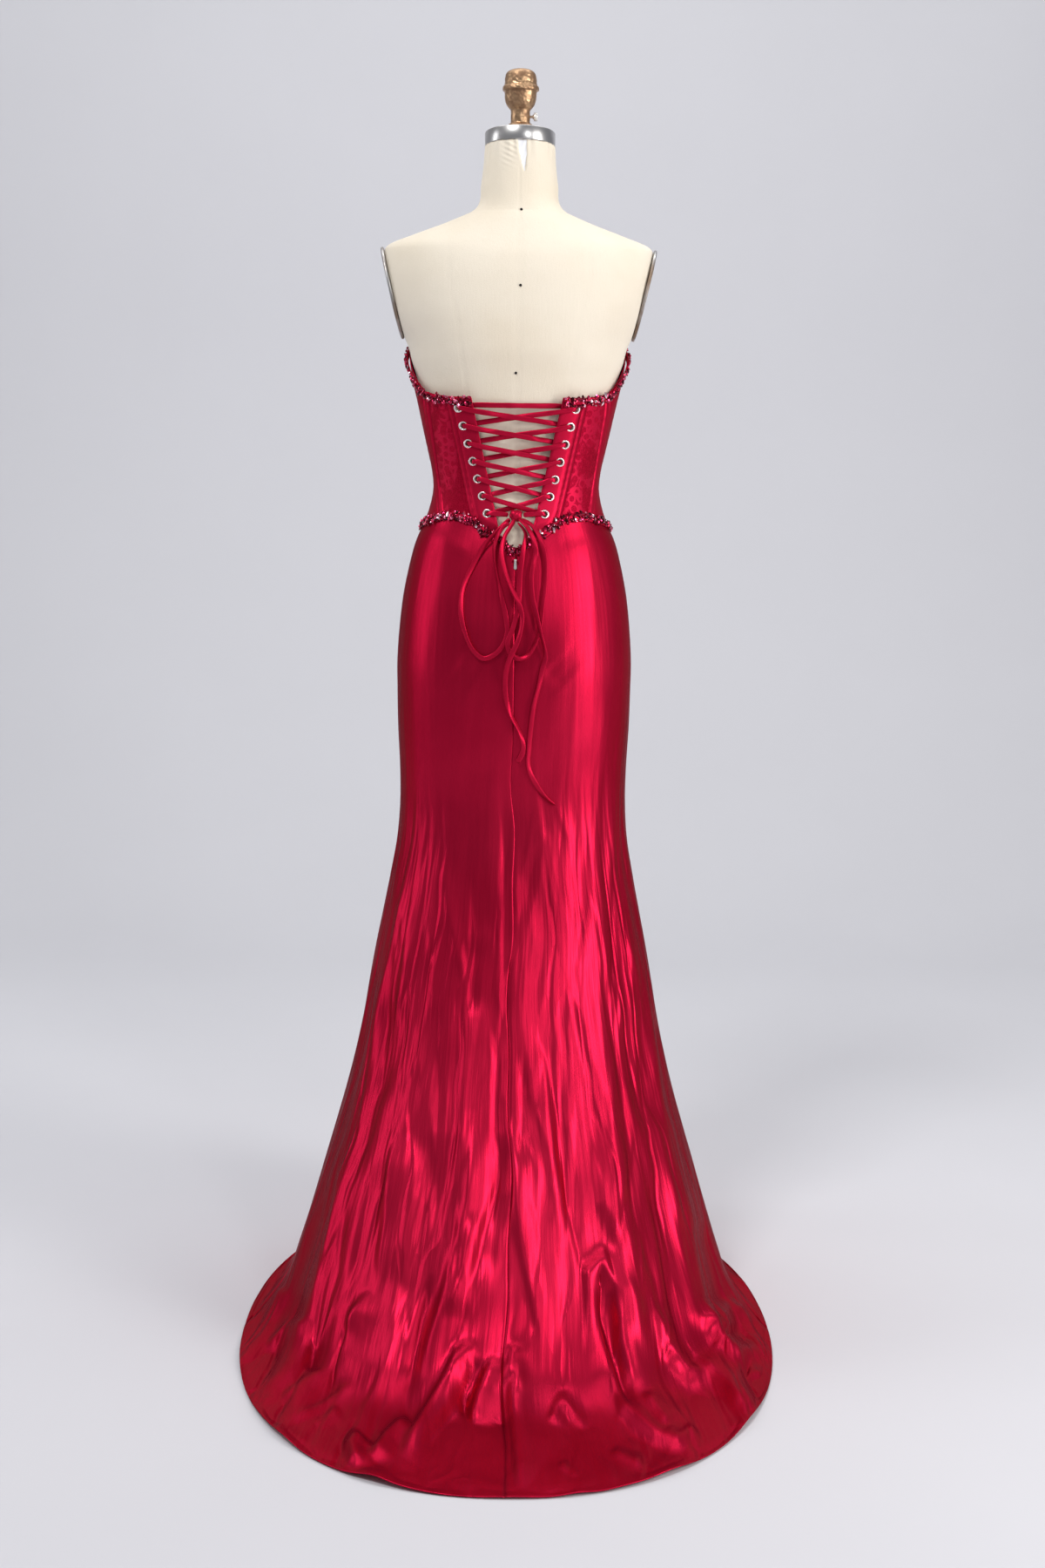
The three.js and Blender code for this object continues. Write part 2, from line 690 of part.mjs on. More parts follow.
// The bow's knot, its two loops and two tails, each a cord from the knot's lower edge
const BOW_CORD = 4.5; // width of the satin tube
const BOW_STEPS = 19;
const ROUTES = {
  bow_loop_left: [
    [7.7, 97.5, 1115.1],
    [17, 101, 1107.5],
    [25, 104.3, 1099],
    [43, 106, 1079],
    [60, 109, 1048],
    [71, 113, 1021],
    [74, 118, 993],
    [70, 124, 968],
    [59, 130, 941],
    [43, 134, 927],
    [28, 135, 932],
    [16, 136, 945],
    [10, 134, 963],
    [12, 130, 985],
    [18, 125, 1010],
    [25, 118, 1039],
    [29, 113, 1065],
    [27, 108, 1087],
    [18.5, 104, 1104],
    [9.5, 103.2, 1111],
  ],
  bow_loop_right: [
    [-7.8, 98, 1115.2],
    [-20, 101, 1109],
    [-31, 105, 1095],
    [-40, 112, 1066],
    [-41, 121, 1035],
    [-38, 130, 1002],
    [-35, 136, 972],
    [-29, 139, 949],
    [-19, 141, 933],
    [-6, 142, 928],
    [6, 141, 936],
    [9, 140, 951],
    [4, 139, 964],
    [-1, 136, 980],
    [-5, 132, 1002],
    [-7, 122, 1043],
    [-11, 115, 1076],
    [-14, 109, 1094],
    [-10, 106.5, 1103],
    [-3, 104, 1110.5],
  ],
  bow_tail_left: [
    [1.7, 102, 1114.7],
    [8, 109, 1104],
    [15, 113, 1092],
    [19, 119, 1072],
    [14, 126, 1047],
    [5, 132, 1024],
    [-5, 137, 1004],
    [-10, 140, 986],
    [-9, 143, 970],
    [-4, 146, 951],
    [4, 147, 933],
    [10, 143, 915],
    [12, 137, 892],
    [10, 136, 870],
    [3, 135, 848],
    [-7, 133, 829],
    [-14, 131, 810],
    [-13, 130, 796],
    [-6, 129, 783],
  ],
  bow_tail_right: [
    [-4.6, 101.8, 1116.2],
    [-16, 111, 1105],
    [-24, 115, 1090],
    [-28, 118, 1072],
    [-24, 124, 1053],
    [-22, 130, 1033],
    [-24, 135, 1011],
    [-29, 139, 991],
    [-34, 142, 970],
    [-40, 140, 947],
    [-43, 137, 930],
    [-39, 135, 914],
    [-34, 135, 888],
    [-28, 135, 863],
    [-24, 133, 832],
    [-22, 130, 800],
    [-22, 128, 776],
    [-32, 125, 752],
    [-46, 123, 733],
    [-59, 120, 722],
  ],
};

function freeCord(route) {
  const ring = new THREE.Shape().absarc(0, 0, BOW_CORD / 2, 0, 2 * Math.PI);
  const extrudePath = new THREE.CatmullRomCurve3(route.map((point) => new THREE.Vector3(...point)));
  return new THREE.ExtrudeGeometry(ring, { extrudePath, steps: BOW_STEPS, curveSegments: 4 });
}

function knot() {
  const { x, y, z } = inGap(0, KNOT.z, KNOT.out);
  const ball = new THREE.SphereGeometry(1, 10, 8);
  return ball.rotateX(Math.PI / 2).scale(KNOT.wide, KNOT.deep, KNOT.tall).translate(x, y, z);
}

add("bow_knot", knot(), "satin");
for (const [name, route] of Object.entries(ROUTES)) add(name, freeCord(route), "satin");

// The zip's slider at the top of the centre back seam, and the pull tab that swings on its bail
const ZIP = { z: 1057, wide: 6, thick: 2, long: 8 };
const BAIL = { out: 4.3, up: 1.5, radius: 0.55, cheek: 0.9, cheekX: 2.5, long: 3 };
const TAB = { eye: 1.7, bore: 0.9, wide: 3.4, thick: 1.1, long: 10, top: 1.3, end: 2, lean: 12 * DEG };

// Sets a piece made on the seam, with +Y out of the cloth and +Z up along it
function onSeam(geometry) {
  const normal = dressNormal(0, ZIP.z);
  const place = over(0, ZIP.z);
  return geometry.rotateX(Math.atan2(normal.z, normal.y)).translate(0, place.y, place.z);
}

const acrossX = (geometry, y, z) => geometry.rotateZ(Math.PI / 2).translate(0, y, z);

function slider() {
  const cheekTall = BAIL.out + 1.1 - ZIP.thick;
  const body = new THREE.BoxGeometry(ZIP.wide, ZIP.thick, ZIP.long).translate(0, SEAM + ZIP.thick / 2, 0);
  const cheeks = [1, -1].map((side) =>
    new THREE.BoxGeometry(BAIL.cheek, cheekTall, BAIL.long).translate(
      side * BAIL.cheekX,
      ZIP.thick + cheekTall / 2,
      BAIL.up,
    ),
  );
  const pin = new THREE.CylinderGeometry(BAIL.radius, BAIL.radius, 2 * BAIL.cheekX, 10);
  return onSeam(join([body, ...cheeks, acrossX(pin, BAIL.out, BAIL.up)]));
}

function pullTab() {
  const blade = new THREE.Shape();
  blade.moveTo(TAB.top, 0).lineTo(-TAB.top, 0).lineTo(-TAB.end, -TAB.long);
  blade.absarc(0, -TAB.long, TAB.end, Math.PI, 2 * Math.PI, false);
  const solid = { depth: TAB.thick, bevelEnabled: false, curveSegments: 6 };
  const plate = new THREE.ExtrudeGeometry(blade, solid);
  plate.translate(0, 0, -TAB.thick / 2).rotateX(Math.PI / 2);
  plate.rotateX(-TAB.lean).translate(0, BAIL.out, BAIL.up);
  const rod = (radius, long) => new THREE.CylinderGeometry(radius, radius, long, 12);
  const eye = acrossX(rod(TAB.eye, TAB.wide), BAIL.out, BAIL.up);
  const bore = acrossX(rod(TAB.bore, 2 * TAB.wide), BAIL.out, BAIL.up);
  return onSeam(cut(join([plate, eye]), [bore]));
}

add("zip_slider", slider(), "steel");
add("zip_pull", pullTab(), "steel");

export default part;
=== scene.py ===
"""Looks of a mermaid prom dress on its form: satin, lace, crystals, lacing, canvas and metal.

Metres, +Z up; the laced back and the train face +Y. Tables and sizes are in millimetres, as in the
part, and MM turns them into metres.
"""

import math

import bpy
import numpy as np
from mathutils import Matrix, Vector


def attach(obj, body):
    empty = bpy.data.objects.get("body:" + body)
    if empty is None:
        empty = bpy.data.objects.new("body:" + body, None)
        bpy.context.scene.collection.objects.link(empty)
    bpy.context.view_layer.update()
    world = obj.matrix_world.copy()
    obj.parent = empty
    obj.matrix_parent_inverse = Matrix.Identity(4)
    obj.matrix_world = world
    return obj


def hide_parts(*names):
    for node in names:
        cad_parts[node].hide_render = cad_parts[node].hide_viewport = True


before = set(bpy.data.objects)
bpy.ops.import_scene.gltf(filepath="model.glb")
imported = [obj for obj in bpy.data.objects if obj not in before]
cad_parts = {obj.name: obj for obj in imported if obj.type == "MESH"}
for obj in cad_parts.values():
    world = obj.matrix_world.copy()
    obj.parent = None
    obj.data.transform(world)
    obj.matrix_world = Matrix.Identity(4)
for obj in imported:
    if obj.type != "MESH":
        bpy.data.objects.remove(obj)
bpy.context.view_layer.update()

MM = 0.001
DEG = math.pi / 180
BODY = "dress_and_form"
SIDES = (("left", 1), ("right", -1))  # the wearer's, and the sign of x
rng = np.random.default_rng(11)


def add(name, data):
    """An object with this data, in the scene."""
    made = bpy.data.objects.new(name, data)
    bpy.context.scene.collection.objects.link(made)
    return made



# Camera: behind the gown at chest height, looking a little down, the picture leaning a little
CAMERA = {"place": (0, 3.1, 1.24), "lens": 50, "pitch": 9.31, "yaw": 0.26, "roll": 0.7}


def camera():
    data = bpy.data.cameras.new("camera")
    data.lens = CAMERA["lens"]
    view = add("camera", data)
    view.matrix_world = (
        Matrix.Translation(CAMERA["place"])
        @ Matrix.Rotation(math.pi - CAMERA["yaw"] * DEG, 4, "Z")
        @ Matrix.Rotation(math.pi / 2 - CAMERA["pitch"] * DEG, 4, "X")
        @ Matrix.Rotation(CAMERA["roll"] * DEG, 4, "Z")
    )
    bpy.context.scene.camera = view


camera()


# Shader maths
class Shade:
    """A shader socket that takes part in arithmetic: each operator makes one Math node."""

    def __init__(self, tree, socket):
        self.tree, self.socket = tree, socket

    def math(self, operation, *others):
        made = self.tree.nodes.new("ShaderNodeMath")
        made.operation = operation
        for slot, value in zip(made.inputs, (self, *others)):
            feed(self.tree, slot, value)
        return Shade(self.tree, made.outputs[0])

    def __add__(self, other):
        return self.math("ADD", other)

    def __sub__(self, other):
        return self.math("SUBTRACT", other)

    def __mul__(self, other):
        return self.math("MULTIPLY", other)

    def above(self, low, high):
        """0 at low, 1 at high, smooth between."""
        made = self.tree.nodes.new("ShaderNodeMapRange")
        made.interpolation_type = "SMOOTHSTEP"
        feed(self.tree, made.inputs["Value"], self)
        made.inputs["From Min"].default_value = low
        made.inputs["From Max"].default_value = high
        return Shade(self.tree, made.outputs[0])


def feed(tree, slot, value):
    if isinstance(value, Shade):
        tree.links.new(value.socket, slot)
    elif isinstance(value, tuple) and len(value) == 3 and slot.type == "RGBA":
        slot.default_value = (*value, 1)
    else:
        slot.default_value = value


class Finish:
    """A material being made: constants go on its shader's own sockets, the rest through nodes."""

    def __init__(self, name, **constants):
        self.material = bpy.data.materials.new(name)
        self.material.use_nodes = True
        self.tree = self.material.node_tree
        self.shader = self.tree.nodes["Principled BSDF"]
        self.put(**constants)

    def put(self, **inputs):
        for name, value in inputs.items():
            feed(self.tree, self.shader.inputs[name.replace("_", " ")], value)

    def node(self, kind, output=0, settings=(), **inputs):
        made = self.tree.nodes.new("ShaderNode" + kind)
        for name, value in dict(settings).items():
            setattr(made, name, value)
        for name, value in inputs.items():
            feed(self.tree, made.inputs[name.replace("_", " ")], value)
        return Shade(self.tree, made.outputs[output])

    def place(self, kind="Object", scale=(1, 1, 1)):
        where = self.node("TexCoord", output=kind)
        return self.node("Mapping", Vector=where, Scale=scale)

    def noise(self, where, scale, detail=2, output=0):
        return self.node("TexNoise", output, Vector=where, Scale=scale, Detail=detail)

    def cells(self, where, scale, feature="F1"):
        return self.node("TexVoronoi", 0, {"feature": feature}, Vector=where, Scale=scale)

    def mix(self, share, first, second):
        made = self.tree.nodes.new("ShaderNodeMix")
        made.data_type = "RGBA"
        # Of the node's sockets, 6 and 7 are its colours and output 2 its mixed colour
        for slot, value in ((0, share), (6, first), (7, second)):
            feed(self.tree, made.inputs[slot], value)
        return Shade(self.tree, made.outputs[2])

    def bump(self, height, depth, before=None):
        made = {"Height": height, "Distance": depth}
        if before is not None:
            made["Normal"] = before
        return self.node("Bump", **made)


# Linear colours
CRIMSON = (0.50, 0.009, 0.042)
CRIMSON_DEEP = (0.41, 0.006, 0.032)

# The skirt's cloth is smooth above the first height and fully crumpled below the second, in metres
FITTED_ABOVE, LOOSE_BELOW = 0.85, 0.35


def satin(name, streak=1.0, gloss=0.37, sheen=0.72):
    look = Finish(name, Specular_IOR_Level=0.14, Specular_Tint=(0.03, 0.001, 0.005))
    cut = look.place("UV")
    along = look.place("UV", scale=(1, 0.12, 1))
    shifted = look.place("UV", scale=(1, 0.45, 1))
    crumpled = look.mix(0.09, shifted, look.noise(cut, 7, output=1))
    cloud = look.noise(look.place(), 5, 3)
    streaks = look.noise(along, 60, 3)
    creased = look.cells(crumpled, 8.5, "DISTANCE_TO_EDGE").above(0, 0.14)
    thread = look.noise(look.place(scale=(1, 1, 0.3)), 900, 1)
    look.put(Base_Color=look.mix(cloud.above(0.35, 0.65), CRIMSON_DEEP, CRIMSON))
    look.put(Roughness=streaks * 0.12 + (gloss - 0.06), Metallic=cloud * 0.1 + sheen)
    height = look.node("SeparateXYZ", output=2, Vector=look.place())
    loose = height.above(FITTED_ABOVE, LOOSE_BELOW)
    soft = look.bump(streaks * (loose * 0.6 + 0.15), 0.0012 * streak)
    soft = look.bump(creased * loose, 0.0014 * streak, soft)
    look.put(Normal=look.bump(thread, 0.00006, soft))
    return look.material


def lace_cloth():
    look = Finish("lace over lining", Specular_IOR_Level=0.12, Specular_Tint=(0.4, 0.02, 0.08))
    where = look.place()
    wobble = look.noise(where, 45, 2)
    net = look.cells(where, 420, "DISTANCE_TO_EDGE").above(0.16, 0.06)
    flower = look.cells(where, 95)
    petal = (flower * 9 + wobble * 5).math("SINE").above(-0.1, 0.6)
    motif = look.noise(look.place(scale=(1, 1, 0.5)), 34, 3).above(0.44, 0.54)
    thread = petal * motif
    cover = (net * 0.45 + thread).math("MINIMUM", 1.0)
    ground = look.mix(motif, (0.27, 0.002, 0.016), (0.36, 0.003, 0.024))
    look.put(Base_Color=look.mix(cover, ground, (0.46, 0.008, 0.04)))
    look.put(Roughness=thread * -0.1 + 0.52)
    look.put(Metallic=0.4, Normal=look.bump(cover, 0.0004))
    return look.material


def crystal():
    look = Finish("crystals", Coat_Weight=0.35, Coat_Roughness=0.03, Specular_IOR_Level=0.5)
    tone = look.node("SeparateXYZ", Vector=look.node("TexCoord", output="UV"))
    tint = look.node("ValToRGB", Fac=tone)
    ramp = tint.socket.node.color_ramp
    ramp.interpolation = "CONSTANT"
    # Stone colours from dark wine to crimson; the bright pink and pale pink-white stops at the top
    # are painted glints on a few stones
    tones_and_glints = [
        (0.0, (0.10, 0.002, 0.012)),
        (0.28, (0.32, 0.004, 0.035)),
        (0.58, (0.6, 0.015, 0.09)),
        (0.82, (0.9, 0.2, 0.34)),
        (0.93, (1.0, 0.72, 0.8)),
    ]
    for place, _ in tones_and_glints[1:]:
        ramp.elements.new(place)
    ramp.elements.remove(ramp.elements[-1])
    for element, (place, colour) in zip(ramp.elements, tones_and_glints):
        element.position, element.color = place, (*colour, 1)
    look.put(Base_Color=tint, Metallic=0.9, Roughness=0.1)
    return look.material


def canvas():
    look = Finish("canvas cover", Specular_IOR_Level=0.3, Sheen_Weight=0.2)
    where = look.place()
    stain = look.noise(where, 7, 4).above(0.35, 0.7)
    weave = look.cells(where, 1300)
    look.put(Base_Color=look.mix(stain, (0.84, 0.76, 0.63), (0.79, 0.70, 0.56)))
    look.put(Roughness=weave * 0.2 + 0.7)
    slub = look.noise(look.place(scale=(1, 1, 0.1)), 400, 1)
    look.put(Normal=look.bump(weave + slub, 0.0002))
    return look.material


def metal(name, pale, dark, gloss, depth, scale, wear=0.5, shine=1.0):
    look = Finish(name)
    where = look.place()
    patch = look.noise(where, scale, 4).above(wear - 0.12, wear + 0.15)
    dents = look.cells(where, scale * 4)
    look.put(Base_Color=look.mix(patch, pale, dark), Metallic=patch * -0.2 + shine)
    look.put(Roughness=patch * 0.2 + gloss, Normal=look.bump(dents, depth))
    return look.material


def plain(name, colour, rough):
    look = Finish(name, Specular_IOR_Level=0.3)
    shade = look.noise(look.place(), 3, 2)
    soft = tuple(c * 0.97 for c in colour)
    look.put(Base_Color=look.mix(shade, colour, soft), Roughness=rough)
    return look.material


SATIN = satin("crimson satin")
CORSET = satin("corset satin", streak=0.25, gloss=0.42, sheen=0.6)
CORD = satin("satin cord", streak=0, gloss=0.36, sheen=0.45)
BAND = satin("band cloth", 0, 0.5)
LACE = lace_cloth()
CRYSTAL = crystal()
CANVAS = canvas()
STEEL = metal("worn steel", (0.62, 0.61, 0.6), (0.3, 0.27, 0.25), 0.28, 0.0001, 12, 0.55)
NICKEL = metal("nickel", (0.86, 0.84, 0.81), (0.7, 0.67, 0.63), 0.24, 0.00002, 90, 0.6, 0.6)
BRASS = metal("hammered brass", (0.52, 0.33, 0.19), (0.26, 0.15, 0.085), 0.36, 0.0005, 60)
STAND = plain("stand paint", (0.02, 0.02, 0.022), 0.45)
DARK = plain("dark thread", (0.012, 0.01, 0.01), 0.8)
LINING = plain("white padding", (0.86, 0.87, 0.9), 0.9)
PLATE_STEEL = metal("worn plate", (0.5, 0.49, 0.48), (0.22, 0.15, 0.1), 0.35, 0.0002, 16)


# Mesh making
def mesh(name, points, faces, material, smooth=True):
    data = bpy.data.meshes.new(name)
    data.from_pydata(np.asarray(points).tolist(), [], np.asarray(faces).tolist())
    data.polygons.foreach_set("use_smooth", [smooth] * len(data.polygons))
    data.materials.append(material)
    return data


def mesh_object(name, points, faces, material, slot, uv=None, node=None, body=BODY, smooth=True):
    """A piece that rides a body, in the place of a node of the part if one is named; its slot
    argument is not used.
    """
    data = mesh(name, points, faces, material, smooth)
    if uv is not None:
        layer = data.uv_layers.new(name="UVMap")
        corners = np.zeros(len(data.loops), np.int32)
        data.loops.foreach_get("vertex_index", corners)
        layer.data.foreach_set("uv", np.asarray(uv, np.float32)[corners].ravel())
    made = add(name, data)
    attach(made, body)
    if node:
        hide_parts(node)
    return made


def grid_faces(rows, columns, loop_rows=False, loop_columns=False):
    """Quads over a grid of rows by columns points, joined end to end where it loops."""
    i, j = np.meshgrid(
        np.arange(rows if loop_rows else rows - 1),
        np.arange(columns if loop_columns else columns - 1),
        indexing="ij",
    )
    below, beside = (i + 1) % rows, (j + 1) % columns
    corners = [i * columns + j, i * columns + beside, below * columns + beside, below * columns + j]
    return np.stack(corners, -1).reshape(-1, 4)


def unit(v):
    return v / np.linalg.norm(v, axis=-1, keepdims=True)


def circle(count):
    """Angles of stations round a full turn."""
    return np.linspace(0, 2 * math.pi, count, endpoint=False)


def bell(away, width):
    """1 where away is 0, fading to 0 over about twice the width."""
    return np.exp(-((away / width) ** 2))


def lengths(points):
    """How far along a line of points each of them is."""
    return np.r_[0, np.cumsum(np.linalg.norm(np.diff(points, axis=0), axis=1))]


def cap(ring):
    """Quads that close a ring, between stations that face each other across it."""
    last = len(ring) - 1
    return [[ring[k], ring[k + 1], ring[last - 1 - k], ring[last - k]] for k in range(last // 2)]


def thicken(piece, thickness):
    """Cloth of this thickness, inward from the surface."""
    wall = piece.modifiers.new("wall", "SOLIDIFY")
    wall.thickness, wall.offset = thickness, -1


def joined(pieces):
    """Points and faces of several (points, faces) sets as one; all faces have as many corners."""
    shift = np.cumsum([0] + [len(points) for points, _ in pieces[:-1]])
    points = np.concatenate([points for points, _ in pieces])
    return points, np.concatenate([faces + k for (_, faces), k in zip(pieces, shift)])


# Curves and cords
def ease(t):
    """0 up to 0, 1 from 1 on, smooth between."""
    t = np.clip(t, 0, 1)
    return t * t * (3 - 2 * t)


class Curve:
    """A curve through rows: cubic between them, its slope at a row that of its neighbours."""

    def __init__(self, keys, values):
        self.x, self.y = np.array(keys, float), np.array(values, float)
        last = len(self.x) - 1
        low = np.maximum(np.arange(last + 1) - 1, 0)
        high = np.minimum(np.arange(last + 1) + 1, last)
        rise, run = self.y[high] - self.y[low], self.x[high] - self.x[low]
        self.slope = rise / (run[:, None] if self.y.ndim > 1 else run)

    def __call__(self, at):
        at = np.asarray(at, float)
        k = np.clip(np.searchsorted(self.x, at) - 1, 0, len(self.x) - 2)
        span = self.x[k + 1] - self.x[k]
        t = np.clip((at - self.x[k]) / span, 0, 1)
        if self.y.ndim > 1:
            span, t = span[..., None], t[..., None]
        return (
            self.y[k] * (1 + 2 * t) * (1 - t) ** 2
            + span * self.slope[k] * t * (1 - t) ** 2
            + self.y[k + 1] * t * t * (3 - 2 * t)
            + span * self.slope[k + 1] * t * t * (t - 1)
        )


def smooth_path(points, step):
    """A path through points in mm, in metres, with a station every step mm."""
    points = np.array(points, float)
    length = lengths(points)
    stations = np.linspace(0, length[-1], int(length[-1] / step) + 1)
    return Curve(length, points)(stations) * MM


AROUND_CORD = 12  # stations round a cord
SQUARISH = 0.7  # 1 makes a cord's section an ellipse, less makes it squarer
END_SIZE = 0.55  # of the first and last section, which rounds the ends off


def ribbon(path, width, thick, twist, pinch=1.0, facing=None):
    """A closed tube of squarish oval section along a path. Each section is carried from the last
    without turning, eased towards a facing direction if there is one, then turned by twist."""
    ahead = unit(np.gradient(path, axis=0))
    normal = np.zeros_like(path)
    carried = np.array([0.0, 1.0, 0.0])
    for i, direction in enumerate(ahead):
        if facing is not None:
            level = facing[i] - direction * (facing[i] @ direction)
            sign = 1 if carried @ level >= 0 else -1
            carried = carried + 0.5 * level * (level @ level) * sign
        carried = carried - direction * (carried @ direction)
        carried /= np.linalg.norm(carried)
        normal[i] = carried
    side = np.cross(ahead, normal)
    turn = np.broadcast_to(twist, len(path))[:, None]
    flat = side * np.cos(turn) + normal * np.sin(turn)
    proud = normal * np.cos(turn) - side * np.sin(turn)
    around = circle(AROUND_CORD)
    size = np.ones(len(path))
    size[[0, -1]] = END_SIZE
    flat = flat * np.broadcast_to(pinch, len(path))[:, None]
    section = (np.cos(around), np.sin(around))
    out, up = (np.sign(part) * np.abs(part) ** SQUARISH for part in section)
    across = out[None, :, None] * flat[:, None] * width / 2
    above = up[None, :, None] * proud[:, None] * thick / 2
    points = path[:, None] + (across + above) * size[:, None, None]
    faces = grid_faces(len(path), AROUND_CORD, loop_columns=True)
    first = np.arange(AROUND_CORD)
    caps = cap(first[::-1]) + cap((len(path) - 1) * AROUND_CORD + first)
    return points.reshape(-1, 3), np.concatenate([faces, np.array(caps)])


BOW_CORD, BOW_CORD_THICK = 7.2, 2.6  # a pressed satin tube
BOW_CORD_STEP = 3
ROUTES = {  # points of each cord's centreline, from the knot on
    "bow_loop_left": [
        (7.7, 97.5, 1115.1), (17, 101, 1107.5), (25, 104.3, 1099), (43, 106, 1079),
        (60, 109, 1048), (71, 113, 1021), (74, 118, 993), (70, 124, 968), (59, 130, 941),
        (43, 134, 927), (28, 135, 932), (16, 136, 945), (10, 134, 963), (12, 130, 985),
        (18, 125, 1010), (25, 118, 1039), (29, 113, 1065), (27, 108, 1087), (18.5, 104, 1104),
        (9.5, 103.2, 1111),
    ],
    "bow_loop_right": [
        (-7.8, 98, 1115.2), (-20, 101, 1109), (-31, 105, 1095), (-40, 112, 1066),
        (-41, 121, 1035), (-38, 130, 1002), (-35, 136, 972), (-29, 139, 949), (-19, 141, 933),
        (-6, 142, 928), (6, 141, 936), (9, 140, 951), (4, 139, 964), (-1, 136, 980),
        (-5, 132, 1002), (-7, 122, 1043), (-11, 115, 1076), (-14, 109, 1094), (-10, 106.5, 1103),
        (-3, 104, 1110.5),
    ],
    "bow_tail_left": [
        (1.7, 102, 1114.7), (8, 109, 1104), (15, 113, 1092), (19, 119, 1072), (14, 126, 1047),
        (5, 132, 1024), (-5, 137, 1004), (-10, 140, 986), (-9, 143, 970), (-4, 146, 951),
        (4, 147, 933), (10, 143, 915), (12, 137, 892), (10, 136, 870), (3, 135, 848),
        (-7, 133, 829), (-14, 131, 810), (-13, 130, 796), (-6, 129, 783),
    ],
    "bow_tail_right": [
        (-4.6, 101.8, 1116.2), (-16, 111, 1105), (-24, 115, 1090), (-28, 118, 1072),
        (-24, 124, 1053), (-22, 130, 1033), (-24, 135, 1011), (-29, 139, 991), (-34, 142, 970),
        (-40, 140, 947), (-43, 137, 930), (-39, 135, 914), (-34, 135, 888), (-28, 135, 863),
        (-24, 133, 832), (-22, 130, 800), (-22, 128, 776), (-32, 125, 752), (-46, 123, 733),
        (-59, 120, 722),
    ],
}


def bow_cord(name, route):
    path = smooth_path(route, BOW_CORD_STEP)
    share = np.linspace(0, 1, len(path))
    twist = 0.6 * np.sin(share * 9 + len(name)) + 0.35 * np.sin(share * 23 + 1)
    points, faces = ribbon(path, BOW_CORD * MM, BOW_CORD_THICK * MM, twist)
    piece = mesh_object(name + "_satin", points, faces, CORD, "satin", node=name)


for cord_name, cord_route in ROUTES.items():
    bow_cord(cord_name, cord_route)

# The dress's shape: sections of the body and of the hanging skirt, as in the part
EASE = 1.5
CLOTH = 2
ROUND = 0.91
FITTED_TO, WORN_TO = 911, 1400
BODY_ROWS = [  # z, half width, depth behind, depth before, rise per mm of y
    (800, 150, 114, 97, 0),
    (830, 159, 123, 101, 0),
    (870, 162.4, 129.5, 104, 0),
    (911, 162.2, 130.5, 104, 0),
    (960, 159, 127.5, 104, 0),
    (1009, 153, 118.5, 102, 0),
    (1058, 142.5, 105.5, 98, 0),
    (1083, 135, 97.5, 95, 0),
    (1107, 124, 89.5, 92, 0),
    (1131, 116, 83.5, 90, 0),
    (1155, 112, 80.5, 89, 0),
    (1180, 114.3, 81.5, 92, 0),
    (1204, 119.5, 83.5, 97, 0),
    (1228, 125, 86.5, 104, 0),
    (1276, 135.6, 94.5, 123, 0),
    (1300, 141.5, 98.5, 132, 0),
    (1324, 147.5, 102, 135, 0),
    (1350, 153, 105, 128, 0),
    (1396, 176, 106, 110, 0),
    (1440, 187, 102, 91, 0),
    (1470, 187, 95, 79, 0),
    (1486, 181, 88, 72, 0),
    (1500, 147, 81, 66, 0),
    (1519, 96, 71, 60, 0),
    (1537, 60, 60, 59, 0),
    (1570, 53, 50, 56, 0.06),
    (1620, 47.5, 42, 53, 0.125),
]
FALL = [  # v, half width, y where widest, depth behind, depth before
    (100, 290.5, 41, 418, 237),
    (141, 278.5, 36, 388, 225),
    (192, 264, 31, 353, 211),
    (244, 249, 25, 320, 197),
    (295, 235, 19, 287, 183),
    (346, 222.5, 14, 256, 169),
    (397, 212, 8, 227, 156),
    (448, 203.8, 3, 201, 144),
    (500, 194.5, 0, 178, 133),
    (552, 184, 0, 158, 124),
    (603, 174, 0, 141, 116),
    (655, 165, 0, 128, 111),
    (706, 161.2, 0, 122, 108),
    (757, 161.5, 0, 123, 107),
    (820, 164.4, 0, 128.5, 107),
    (870, 165.4, 0, 132.5, 107),
]
SETTLE = [  # the same, then the height at the side, behind and before
    (-140, 364, 230, 719, 276, 2, 2, 2),
    (-90, 354, 200, 656, 272, 2.6, 2.2, 4),
    (-40, 342, 155, 588, 268, 5, 3, 7),
    (0, 328, 110, 530, 263, 13, 8, 13),
    (30, 314, 72, 486, 256, 31, 28, 31),
    (60, 303.5, 50, 452, 248, 60, 60, 60),
]
HEM = SETTLE[0][0]
OVER = EASE + CLOTH
WORN = [
    (z, half + OVER, 0, back + OVER, front + OVER, z, z, z)
    for z, half, back, front, _ in BODY_ROWS
    if FITTED_TO <= z < WORN_TO
]
DRESS = SETTLE + [(*row, row[0], row[0], row[0]) for row in FALL] + WORN
SECTION = Curve([row[0] for row in DRESS], [row[1:] for row in DRESS])

FOLDS = [  # degrees from the centre back towards +X, width, height, top, drift
    (-84, 6, 9, 470, -2),
    (-66, 5.5, 13, 520, 3),
    (-49, 5.5, 11, 400, -4),
    (-34, 5, 14, 560, 4),
    (-19, 5, 11, 470, -3),
    (-2, 3.5, 7, 620, 1),
    (13, 5, 12, 520, 4),
    (29, 5, 13, 430, -3),
    (44, 5.5, 11, 560, 3),
    (60, 5.5, 14, 480, -4),
    (77, 6, 12, 420, 2),
    (118, 13, 10, 460, 0),
    (150, 12, 11, 520, 2),
    (180, 12, 10, 430, 0),
    (210, 12, 11, 500, -2),
    (242, 13, 10, 450, 0),
]
FOLD_GROWS, FOLD_LAID, FOLD_SHOWN = 420, 0.35, 0.5
NECKLINE = Curve(
    [0, 40, 55, 65, 75, 90, 115, 142, 162, 180],
    [1281, 1281, 1284, 1289, 1303, 1331, 1352, 1358, 1348, 1328],
)
